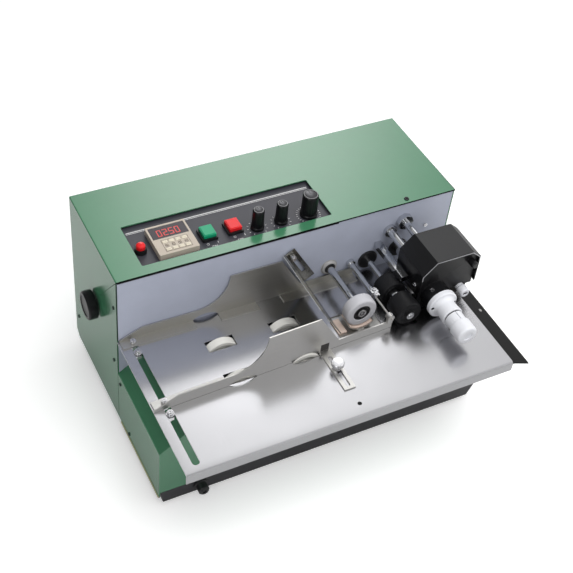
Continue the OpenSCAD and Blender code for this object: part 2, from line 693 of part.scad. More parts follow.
module front_guide() color("#b9b7b0") machine() translate([0, 0, table_top + seat]) difference() {
    stretch = 1 / cos(front_guide_skew);
    tail_y = -front_guide_y + sin(front_guide_skew) * rod_x;
    arm_w = 14;
    notch = 19;
    ear = 3.5;
    eye_z = rod_z - table_top - seat;
    union() {
        translate([0, -front_guide_y, 0]) rotate(front_guide_skew) {
            along_y(0, guide_t) guide_outline(stretch, wheel_cols);
            translate([0, guide_t - 0.5, 0]) linear_extrude(guide_t) guide_feet(
                [[2, wheel_col1 - notch], [wheel_col1 + notch, wheel_col2 - notch]]);
        }
        translate([thumb_x - arm_w / 2, -thumb_y - 32, 0])
            cube([arm_w, 32 + thumb_y + tail_y - 3, guide_t]);
        block([rod_x - ear, tail_y - 2, guide_tail_h - 1], [rod_x + ear, tail_y + 1.6, eye_z]);
        y_rod(rod_x, eye_z, ear + 0.7, tail_y - 3.5, tail_y + 3.5);
        y_rod(rod_x, eye_z, wire_r, tail_y - 6, -15);
    }
    translate([thumb_x, -thumb_y - 26, -1]) rotate(90) linear_extrude(guide_t + 2)
        stadium(26 + guide_travel, 2.75);
}
module slot_bolt(x, y, low, washer) translate([x, y, 0]) {
    nut_r = slot_w / 2 + 1.4;
    translate([0, 0, table_under - seat - 9]) cylinder(r = bolt_r, h = low + 9.5 - table_under + seat);
    translate([0, 0, low + seat]) cylinder(r = bolt_head, h = 3.4);
    translate([0, 0, low + seat]) cylinder(r = washer, h = 0.8);
    translate([0, 0, table_under - seat - 4.5]) cylinder(r = nut_r, h = 4.5, $fn = 6);
}
module clamp_bolts() color("#c9c9c9") machine() {
    slot_bolt(slot_x, -2.2 - 1 - guide_foot / 2, table_top + guide_t, bolt_head);
    slot_bolt(slot_x, -8 - guide_foot - 4, table_top, slot_w / 2 + 0.7);
    gate_frame(-7.5, panel_t + 6) translate([gate_bracket / 2, -gate_screw_down]) circle(gate_screw_r);
    gate_frame(-7.5, -2 - gate_t) translate([gate_bracket / 2, -gate_screw_down]) circle(bolt_head);
}
module front_clamp_bolts() color("#c9c9c9") machine() {
    rear_y = -front_guide_y + sin(front_guide_skew) * slot_x + guide_t + 0.5 + guide_foot / 2;
    slot_bolt(slot_x - sin(front_guide_skew) * (guide_foot / 2 + 2.5), rear_y,
        table_top + seat + guide_t, bolt_head);
    slot_bolt(slot_x, rear_y - guide_foot - 4, table_top, slot_w / 2 + 0.7);
}
module thumb_screw() color("#d6d6d8") machine() translate([thumb_x, -thumb_y, 0]) {
    low = table_top + 2 * seat + guide_t + 0.1;
    r = thumb_d / 2;
    knurls = 24;
    translate([0, 0, table_under - 8]) cylinder(r = 2.5, h = low - table_under + 9);
    difference() {
        translate([0, 0, low]) rotate_extrude() polygon([[0, 0], [5, 0], [5, 5], [r - 0.8, 5], [r,
            5.8], [r, 9.6],
            [r - 0.8, 10.4], [0, 10.4]]);
        for (i = [0:knurls - 1]) rotate(i * 360 / knurls) translate([r + 0.35, 0,
            low + 4]) cylinder(r = 0.7, h = 8);
    }
}
module gate_frame(y0 = -1, y1 = panel_t + 1) along_y(y0, y1) translate([gate_x,
    gate_z]) rotate(gate_tilt) children();
module stop_gate() color("#8d8a7c") machine() {
    face = -1.3;
    gate_frame(face - gate_t, face) difference() {
        translate([0, -gate_l]) square([gate_bracket, gate_l]);
        translate([gate_bracket / 2, -gate_screw_down - gate_slot_l]) rotate(90)
            stadium(gate_slot_l, gate_slot_w / 2);
    }
    gate_frame(-gate_reach, face) {
        translate([0, -gate_l]) square([gate_t, gate_l]);
        translate([0, -gate_hem]) square([2 * gate_t, gate_hem]);
    }
}
module guide_rod() color("#c4c6ca") machine() difference() {
    union() {
        y_rod(rod_x, rod_z, rod_r, collar_y[1], panel_t + 8);
        y_rod(rod_x, rod_z, rod_r + 2, -5, 0);
        y_rod(rod_x, rod_z, rod_r + 1.5, collar_y[1] - 6, collar_y[1]);
        block([rod_x - 5, collar_y[0] + 5, rod_z - 4], [rod_x + 4, collar_y[1] - 7, rod_z + 7]);
        y_rod(rod_x, rod_z, 2.6, collar_y[0], collar_y[1]);
    }
    y_rod(rod_x, rod_z, wire_r + fit, collar_y[0] - 1, -2);
}

// Shafts in the panel: x, z, shaft radius, radius of the front flange
bush_wall = 3;
stud_r = 4;
bearings = [[wheel_col1, drive_z, shaft_r, 11], [wheel_col2, drive_z, shaft_r, 11],
    [feed_x, feed_z, feed_shaft_r, 9.5], [press_x, press_z, press_shaft_r, 13],
    [press_x, drive_z, shaft_r, 11], [drum_x, drive_z, shaft_r, 11],
    [drum_x, drum_z, drum_shaft_r, 13]];
module shaft_bearings() color("#1a1a1c") machine() for (b = bearings)
    y_turned(b[0], b[1], 0) polygon([[b[2] + fit, -panel_t - 5], [b[2] + bush_wall, -panel_t - 5],
        [b[2] + bush_wall, 0], [b[3], 0], [b[3], 2], [b[3] - 1.5, 3], [b[2] + fit, 3]]);
module front_bearing_plate() color("#77797d") machine() difference() {
    union() {
        block([wheel_col1 - 20, bearing_y[0], drive_z - 16], [drum_x + 18, bearing_y[1], table_under]);
        block([wheel_col1 - 20, bearing_y[0] - 8, table_under - 2], [drum_x + 18, bearing_y[1],
            table_under]);
    }
    for (x = [wheel_col1, wheel_col2, press_x, drum_x])
        y_rod(x, drive_z, shaft_r + fit, bearing_y[0] - 9, bearing_y[1] + 1);
    translate([thumb_x, -thumb_y, table_under - 10]) cylinder(r = 5, h = 12);
}
module feed_axle(x) machine() {
    y_rod(x, drive_z, shaft_r, axle_end, pulley_y[1] + 0.5);
    pulley(x, drive_z, 0);
}
module wheel_shaft_left() color("#b9bcc0") feed_axle(wheel_col1);
module wheel_shaft_right() color("#b9bcc0") feed_axle(wheel_col2);
module wheel_pair(x) machine() for (y = wheel_rows) y_turned(x, drive_z, y + wheel_w / 2) polygon([
    [shaft_r + keyed, 0], [shaft_r + 5, 0], [shaft_r + 5, 2], [wheel_r - 5, 2], [wheel_r - 5, 0],
    [wheel_r - 0.8, 0], [wheel_r, 0.8], [wheel_r, wheel_w - 0.8], [wheel_r - 0.8, wheel_w],
    [wheel_r - 5, wheel_w], [wheel_r - 5, wheel_w - 2], [shaft_r + 5, wheel_w - 2], [shaft_r + 5,
        wheel_w],
    [shaft_r + keyed, wheel_w]]);
module wheels_left() color("#ecebe6") wheel_pair(wheel_col1);
module wheels_right() color("#ecebe6") wheel_pair(wheel_col2);

// Feed roller and separator
hub_r = 11;
module feed_shaft() color("#c4c6ca") machine() {
    y_rod(feed_x, feed_z, feed_shaft_r, 2 - feed_front, pulley_y[1] + 0.5);
    pulley(feed_x, feed_z, 0);
}
module feed_hub() color("#19191b") machine() y_turned(feed_x, feed_z, feed_w - feed_front) polygon([
    [feed_shaft_r + keyed, -1], [hub_r, -1], [hub_r, feed_w - 1], [hub_r - 2, feed_w - 1],
    [hub_r - 2.5, feed_w - 2], [hub_r - 4.5, feed_w - 2], [hub_r - 5, feed_w], [3, feed_w], [2.5,
        feed_w - 1.5],
    [0, feed_w - 1.5], [0, feed_w - 1.9], [feed_shaft_r + keyed, feed_w - 1.9]]);
module feed_tyre() color("#d9d9dc") machine() y_turned(feed_x, feed_z, feed_w - feed_front) polygon([
    [hub_r + keyed, 0], [feed_r - 2, 0], [feed_r, 2], [feed_r, feed_w - 2], [feed_r - 2, feed_w],
    [hub_r + keyed, feed_w]]);
cradle_y = [-87, -63];
cradle_half = 46;
cradle_t = 0.8;
module cradle(r0, r1, half) translate([feed_x, feed_z]) difference() {
    intersection() {
        circle(r1, $fn = 96);
        polygon([[0, 0], [-2 * r1 * sin(half), -2 * r1 * cos(half)], [2 * r1 * sin(half),
            -2 * r1 * cos(half)]]);
    }
    circle(r0, $fn = 96);
}
sep_left = 30.5;
sep_right = 26.5;
sep_y = [-91, -58];
module separator_plate() color("#a5a5a3") machine() {
    r0 = feed_r + nip + pad_t;
    foot_z = feed_z - r0;
    lap = 4;
    along_y(cradle_y[0], cradle_y[1]) cradle(r0, r0 + cradle_t, cradle_half);
    block([feed_x - 4, cradle_y[0], table_under - cradle_t / 2], [feed_x + 4, cradle_y[1],
        foot_z - cradle_t / 2]);
    block([feed_x - sep_left - lap, sep_y[0] - lap, table_under - cradle_t],
        [feed_x + sep_right + lap, sep_y[1] + lap, table_under]);
}
module separator_pad() color("#d8b79c") machine() {
    along_y(cradle_y[0] + 1, cradle_y[1] - 1) cradle(feed_r + nip, feed_r + nip + pad_t, cradle_half - 4);
    block([feed_x - sep_left + 1, cradle_y[0] + 1, table_under],
        [feed_x - sep_left + 12, cradle_y[1] - 1, table_top + 1]);
}

// Rollers
gear_a = (press_z - drive_z) / 2;
gear_b = (drum_z - drive_z) / 2;
half_tooth = 180 / gear_teeth;
module press_shaft() color("#c4c6ca") machine() {
    y_rod(press_x, press_z, press_shaft_r, roller_y[0] - 1.5, gear_a_y[1] + 1);
    y_rod(press_x, press_z, press_shaft_r + 1, roller_y[0] - 3, roller_y[0] - 1);
    pulley(press_x, press_z, 0);
    spur(press_x, press_z, gear_a, -90 + half_tooth, gear_a_y);
}
press_spans = [[roller_y[0], -77], [-66, roller_y[1]]];
module press_rollers() color("#19191c") machine() for (s = press_spans)
    y_turned(press_x, press_z, s[1]) polygon([[press_shaft_r + keyed, 0], [roller_r - 1, 0], [roller_r,
        1],
        [roller_r, s[1] - s[0] - 1], [roller_r - 1, s[1] - s[0]], [roller_r - 5, s[1] - s[0]],
        [roller_r - 6, s[1] - s[0] - 0.6], [press_shaft_r + 3, s[1] - s[0] - 0.6],
            [press_shaft_r + 2.5, s[1] - s[0]],
        [press_shaft_r + keyed, s[1] - s[0]]]);
module lower_roller() color("#1c1c1f") machine() {
    y_rod(press_x, drive_z, shaft_r, axle_end, gearbox_y[0] + 10);
    y_rod(press_x, drive_z, roller_r, roller_y[0], roller_y[1]);
    pulley(press_x, drive_z, 0);
    spur(press_x, drive_z, gear_a, 90, gear_a_y);
}
module platen_roller() color("#1c1c1f") machine() {
    y_rod(drum_x, drive_z, shaft_r, axle_end, gear_b_y[1] + 2);
    y_rod(drum_x, drive_z, roller_r, platen_y[0], platen_y[1]);
    pulley(drum_x, drive_z, 0);
    spur(drum_x, drive_z, gear_b, 90, gear_b_y);
}

// Print head
function chamfer_ends(c, t) = let (n = norm(c)) [
    [t, -c[1] - t * c[0] / n + t * (1 - c[1] / n) * c[1] / c[0]],
    [t * c[1] / n + (c[1] - t + t * c[0] / n) * c[0] / c[1], -t]];
function head_shoulders(t) = let (l = chamfer_ends(chamfer_l, t), r = chamfer_ends(chamfer_r, t)) [
    [head_x0 + l[0][0], head_top + l[0][1]], [head_x0 + l[1][0], head_top + l[1][1]],
    [head_x1 - r[1][0], head_top + r[1][1]], [head_x1 - r[0][0], head_top + r[0][1]]];
head_left_z = press_z + roller_r + 0.5;
head_right_z = table_top + 27;
boss_r = 18;
boss_l = head_plate_y[0] - knob_y - 0.5;
module head_cover() color("#1d1d20") machine() difference() {
    along_y(-head_front, -head_back) polygon(concat([[head_x0, head_left_z]], head_shoulders(0),
        [[head_x1, head_right_z]]));
    along_y(-head_front - 1, -head_back - head_t) polygon(concat([[head_x0 + head_t, head_left_z - 9]],
        head_shoulders(head_t), [[head_x1 - head_t, head_right_z - 9]]));
    for (p = [[post1, post1_r], [post2, post2_r]])
        y_rod(p[0][0], p[0][1], p[1] + fit, -head_back - head_t - 1, -head_back + 1);
    y_rod(drum_x, drum_z, drum_r + 1, -head_back - head_t - 1, -head_back + 1);
    y_rod(ink_x, ink_z, ink_r + 1, -head_back - head_t - 1, -head_back + 1);
}
module head_plate() color("#26262a") machine() {
    t = head_t + side_gap;
    left = head_x0 + t;
    ink_left = ink_x - ink_r - 3;
    low = table_top + 2.5;
    ink_low = table_top + 21;
    pin_r = 4.5;
    pin_l = 11.5;
    difference() {
        union() {
            along_y(head_plate_y[0], head_plate_y[1]) polygon(concat([[left, low]], head_shoulders(t),
                [[head_x1 - t, ink_low], [ink_left, ink_low], [ink_left, low]]));
            y_rod(drum_x, drum_z, boss_r, head_plate_y[0] - boss_l, head_plate_y[0] + 1);
            y_turned(head_x1 - 11, head_top - 17, head_plate_y[0]) polygon([[0, -1], [pin_r, -1],
                [pin_r, pin_l - 1.5], [pin_r - 1, pin_l], [0, pin_l]]);
        }
        y_rod(drum_x, drum_z, drum_shaft_r + fit, head_plate_y[0] - boss_l - 1, head_plate_y[1] + 1);
        y_rod(ink_x, ink_z, ink_shaft_r + ink_collar + 0.5, head_plate_y[0] - 1, head_plate_y[1] + 1);
    }
}
module head_post(p, r) {
    y_rod(p[0], p[1], r, head_plate_y[1], 0);
    y_rod(p[0], p[1], stud_r, -1, panel_t + 8);
    y_rod(p[0], p[1], 7, panel_t, panel_t + 6, $fn = 6);
}
module head_posts() color("#c4c6ca") machine() {
    head_post(post1, post1_r);
    y_rod(post1[0], post1[1], post1_r + 3.5, -5, 0);
    block([press_x + 6.5, -66, press_z + roller_r + 1], [press_x + 15.5, 0, press_z + roller_r + 9]);
    head_post(post2, post2_r);
    y_rod(post2[0], post2[1], 10.5, -7, 0, $fn = 8);
}
module heater_block() color("#9a9c9e") machine() difference() {
    low = ink_z + ink_r + 4;
    back = -head_back - head_t - side_gap;
    left = drum_x + type_r + 0.8;
    right = head_x1 - head_t - side_gap - 4;
    union() {
        block([left, head_plate_y[1], low], [right, back - 6, head_top - 18]);
        block([left, back - 6, low], [right, back - 3, head_top - 22]);
        block([ink_x - 10, back - 6, ink_z - 10], [ink_x + 10, back - 2, low + 1]);
    }
    y_rod(ink_x, ink_z, ink_shaft_r + fit, back - 7, back + 1);
    for (x = [left + 7, right - 7]) y_rod(x, low + 11, 4, head_plate_y[1] - 1, -head_back - 12);
}
module drum_shaft() color("#c4c6ca") machine() {
    y_rod(drum_x, drum_z, drum_shaft_r, knob_y - 22, gear_b_y[1] + 2);
    spur(drum_x, drum_z, gear_b, -90 + half_tooth, gear_b_y);
}
module type_drum() color("#a9a9ab") machine() difference() {
    union() {
        y_rod(drum_x, drum_z, drum_r, drum_y[0], drum_y[1]);
        for (a = [60, 240]) translate([drum_x, 0, drum_z]) rotate([0, a, 0])
            intersection() {
                y_rod(0, 0, type_r, drum_y[0] + 4, drum_y[1] - 4);
                block([-5, drum_y[0] + 4, 0], [5, drum_y[1] - 4, type_r + 1]);
            }
    }
    y_rod(drum_x, drum_z, drum_shaft_r + keyed, drum_y[0] - 1, drum_y[1] + 1);
    for (a = [150, 330]) translate([drum_x, 0, drum_z]) rotate([0, a, 0])
        block([-3, drum_y[0] - 1, drum_r - 4], [3, drum_y[1] + 1, drum_r + 2]);
}
module drum_knob_outline() {
    f = knob_flange_r;
    n = knob_neck_r;
    c = knob_cap_r;
    at = knob_l - knob_cap_l;
    g = knob_groove;
    slim = 10;
    polygon([[0, 0], [f, 0], [f, 5], [f - 1.5, 6.5], [n, 6.5], [n, 12], [n + 0.9, g[0] - 1],
        [n, g[0]], [slim, g[0]], [slim, g[1]], [n - 0.9, g[1]], [n - 0.9, at], [0, at]]);
    difference() {
        translate([n - 1, 5.5]) square(6);
        translate([n + 5, 11.5]) circle(5);
    }
    difference() {
        union() {
            translate([0, at]) square([c - 3, knob_l - at]);
            translate([0, at]) square([c - 1.5, knob_l - at - 3]);
            translate([0, at + 1.5]) square([c, knob_l - at - 4.5]);
            translate([c - 1.5, at + 1.5]) circle(1.5);
            translate([c - 3, knob_l - 3]) circle(3);
        }
        translate([0, knob_l - 1.2]) square([6, 2]);
    }
}
module drum_knob() color("#f1f1f3") machine() difference() {
    y_turned(drum_x, drum_z, knob_y) drum_knob_outline();
    y_rod(drum_x, drum_z, drum_shaft_r + keyed, knob_y - 22.5, knob_y + 1);
    for (x = [-1, 1]) y_rod(drum_x + x * (knob_flange_r - 4.2), drum_z, 2.4, knob_y - 8, knob_y + 1);
    block([drum_x - 0.4, knob_y - knob_l + knob_cap_l, drum_z + knob_neck_r - 4],
        [drum_x + 0.4, knob_y - knob_groove[1], drum_z + knob_neck_r]);
}
ink_y = [head_plate_y[0] + 6, -head_back - 12];
ink_collar = 2.5;
module ink_roll() color("#241a1a") machine() y_turned(ink_x, ink_z,
    ink_y[1]) polygon([[ink_shaft_r + keyed, 0],
    [ink_r - 0.6, 0], [ink_r, 0.6], [ink_r, ink_y[1] - ink_y[0] - 0.6], [ink_r - 0.6,
        ink_y[1] - ink_y[0]],
    [ink_shaft_r + keyed, ink_y[1] - ink_y[0]]]);
module ink_spindle() color("#eeeeee") machine() {
    y_rod(ink_x, ink_z, ink_shaft_r, -head_front - 2, -head_back - head_t - side_gap - 3);
    y_rod(ink_x, ink_z, ink_shaft_r + ink_collar, -head_front + 2, ink_y[0]);
    y_turned(ink_x, ink_z, -head_front) polygon([[0, 0], [6.2, 0], [6.5, 0.5], [6.2, 8], [5.2, 9.5],
        [2.5, 9.5],
        [2, 8.8], [0, 8.8]]);
}

base_tray();
rubber_feet();
fuse_holder();
lower_casing();
front_panel();
top_cover();
control_plate();
counter_case();
counter_window();
keys_plus();
keys_minus();
button_collars();
reset_button();
start_button();
stop_button();
temperature_dial();
position_dial();
speed_dial();
hand_knob();
motor_shaft();
gear_motor();
gearbox();
drive_belts();
control_board();
transformer();
power_inlet();
work_table();
exit_lip();
rear_guide();
clamp_bolts();
front_guide();
front_clamp_bolts();
thumb_screw();
stop_gate();
guide_rod();
shaft_bearings();
front_bearing_plate();
wheel_shaft_left();
wheels_left();
wheel_shaft_right();
wheels_right();
feed_shaft();
feed_hub();
feed_tyre();
separator_plate();
separator_pad();
press_shaft();
press_rollers();
lower_roller();
platen_roller();
drum_shaft();
type_drum();
drum_knob();
ink_roll();
ink_spindle();
heater_block();
head_posts();
head_plate();
head_cover();
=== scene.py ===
import bmesh
import bpy
import json
import math
from mathutils import Matrix, Vector

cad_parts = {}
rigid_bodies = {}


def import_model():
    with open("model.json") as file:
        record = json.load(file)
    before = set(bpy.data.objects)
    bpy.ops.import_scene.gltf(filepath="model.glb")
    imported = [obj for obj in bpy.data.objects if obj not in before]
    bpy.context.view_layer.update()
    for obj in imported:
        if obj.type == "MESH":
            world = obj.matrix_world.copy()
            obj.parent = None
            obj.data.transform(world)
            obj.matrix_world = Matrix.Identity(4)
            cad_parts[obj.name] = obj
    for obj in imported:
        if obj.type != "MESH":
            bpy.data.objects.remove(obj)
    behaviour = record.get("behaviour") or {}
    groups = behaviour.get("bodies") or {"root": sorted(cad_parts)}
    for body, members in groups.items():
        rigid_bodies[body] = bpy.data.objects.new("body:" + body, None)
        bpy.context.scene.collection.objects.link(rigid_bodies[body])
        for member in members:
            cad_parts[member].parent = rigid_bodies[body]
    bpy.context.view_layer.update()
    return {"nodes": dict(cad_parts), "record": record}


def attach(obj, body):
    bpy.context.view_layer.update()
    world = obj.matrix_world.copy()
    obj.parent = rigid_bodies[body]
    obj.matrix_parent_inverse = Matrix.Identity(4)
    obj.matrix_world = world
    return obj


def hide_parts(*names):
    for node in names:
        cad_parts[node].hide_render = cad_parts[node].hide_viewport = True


for leftOver in list(bpy.data.objects):
    bpy.data.objects.remove(leftOver)
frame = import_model()
scene = bpy.context.scene
scene.view_settings.view_transform = "Standard"
bodyOfNode = {node: body for body, nodes in frame["record"]["behaviour"]["bodies"].items()
              for node in nodes}
datum = {"x": 211.75, "y": -23.75}  # left wall and panel face in the part's own frame, mm
print("frame loaded:", len(frame["nodes"]), "solids")


def at(x, y, z):  # a point on the machine's datum in mm, as metres in the part's frame
    return Vector(((x - datum["x"]) / 1000, (y - datum["y"]) / 1000, z / 1000))


class Wire:  # a socket with arithmetic, so that shader maths reads as expressions
    def __init__(self, tree, socket=None):
        self.tree = tree
        self.socket = socket

    def node(self, kind, settings=None, sockets=None, out=0):
        made = self.tree.nodes.new(kind)
        for key, value in (settings or {}).items():
            if key == "stops":  # the two ends of a colour ramp
                for element, (spot, colour) in zip(made.color_ramp.elements, value):
                    element.position, element.color = spot, colour
            else:
                setattr(made, key, value)
        for key, value in (sockets or {}).items():
            if isinstance(value, Wire):
                self.tree.links.new(value.socket, made.inputs[key])
            else:
                made.inputs[key].default_value = value
        return Wire(self.tree, made.outputs[out])

    def sum(self, operation, a, b):
        return self.node("ShaderNodeMath", {"operation": operation}, {0: a, 1: b})

    def __add__(self, b):
        return self.sum("ADD", self, b)

    __radd__ = __add__

    def __mul__(self, b):
        return self.sum("MULTIPLY", self, b)

    __rmul__ = __mul__

    def __sub__(self, b):
        return self.sum("SUBTRACT", self, b)

    def __rsub__(self, b):
        return self.sum("SUBTRACT", b, self)


def noise(start, place, scale, detail, rough, stretch=(1, 1, 1)):
    spread = start.node("ShaderNodeMapping", None, {"Vector": place, "Scale": stretch})
    return start.node("ShaderNodeTexNoise", {"noise_dimensions": "3D"},
                      {"Vector": spread, "Scale": scale, "Detail": detail, "Roughness": rough})


# what a finish has unless it says otherwise
plainLook = {"shift": 0.12, "dust": 0.0, "broad": 14.0, "broadDetail": 4.0, "grain": 900.0,
             "grainDetail": 2.0, "noiseRough": 0.6, "stretch": (1, 1, 1), "grainTint": 0.25,
             "ends": (0.32, 0.68), "roughBroad": 0.12, "roughFine": 0.1, "metal": 0.0, "ior": 1.5,
             "relief": 0.0, "depth": 0.0001}


def finish(name, ownLook):
    look = {**plainLook, **ownLook}
    material = bpy.data.materials.new(name)
    material.use_nodes = True
    tree = material.node_tree
    shader = tree.nodes["Principled BSDF"]
    start = Wire(tree)
    place = start.node("ShaderNodeTexCoord", None, None, "Object")
    broad = noise(start, place, look["broad"], look["broadDetail"], look["noiseRough"])
    fine = noise(start, place, look["grain"], look["grainDetail"], look["noiseRough"], look["stretch"])
    deep = [c * (1 - look["shift"]) for c in look["colour"]]
    pale = [min(1.0, c * (1 + look["shift"]) + look["dust"]) for c in look["colour"]]
    blendBy = broad * (1 - look["grainTint"]) + fine * look["grainTint"]
    stops = [(look["ends"][0], (*deep, 1)), (look["ends"][1], (*pale, 1))]
    tint = start.node("ShaderNodeValToRGB", {"stops": stops}, {"Fac": blendBy})
    if "under" in look:  # painted shade: a darker tone below a height, for a folded skirt
        height = start.node("ShaderNodeSeparateXYZ", None, {"Vector": place}, 2)
        low = start.sum("LESS_THAN", height, look["under"][0])
        tint = start.node("ShaderNodeMix", {"data_type": "RGBA", "blend_type": "MULTIPLY"},
                          {0: low, 6: tint, 7: (*[look["under"][1]] * 3, 1)}, 2)
    tree.links.new(tint.socket, shader.inputs["Base Color"])
    sheen = look["rough"] + (broad - 0.5) * look["roughBroad"] + (fine - 0.5) * look["roughFine"]
    tree.links.new(sheen.socket, shader.inputs["Roughness"])
    shader.inputs["Metallic"].default_value = look["metal"]
    shader.inputs["IOR"].default_value = look["ior"]
    if look["relief"] > 0:
        bump = start.node("ShaderNodeBump", None,
                          {"Strength": look["relief"], "Distance": look["depth"], "Height": fine})
        tree.links.new(bump.socket, shader.inputs["Normal"])
    if "glow" in look:
        shader.inputs["Emission Color"].default_value = (*look["glow"], 1)
        shader.inputs["Emission Strength"].default_value = look["glowStrength"]
    return material


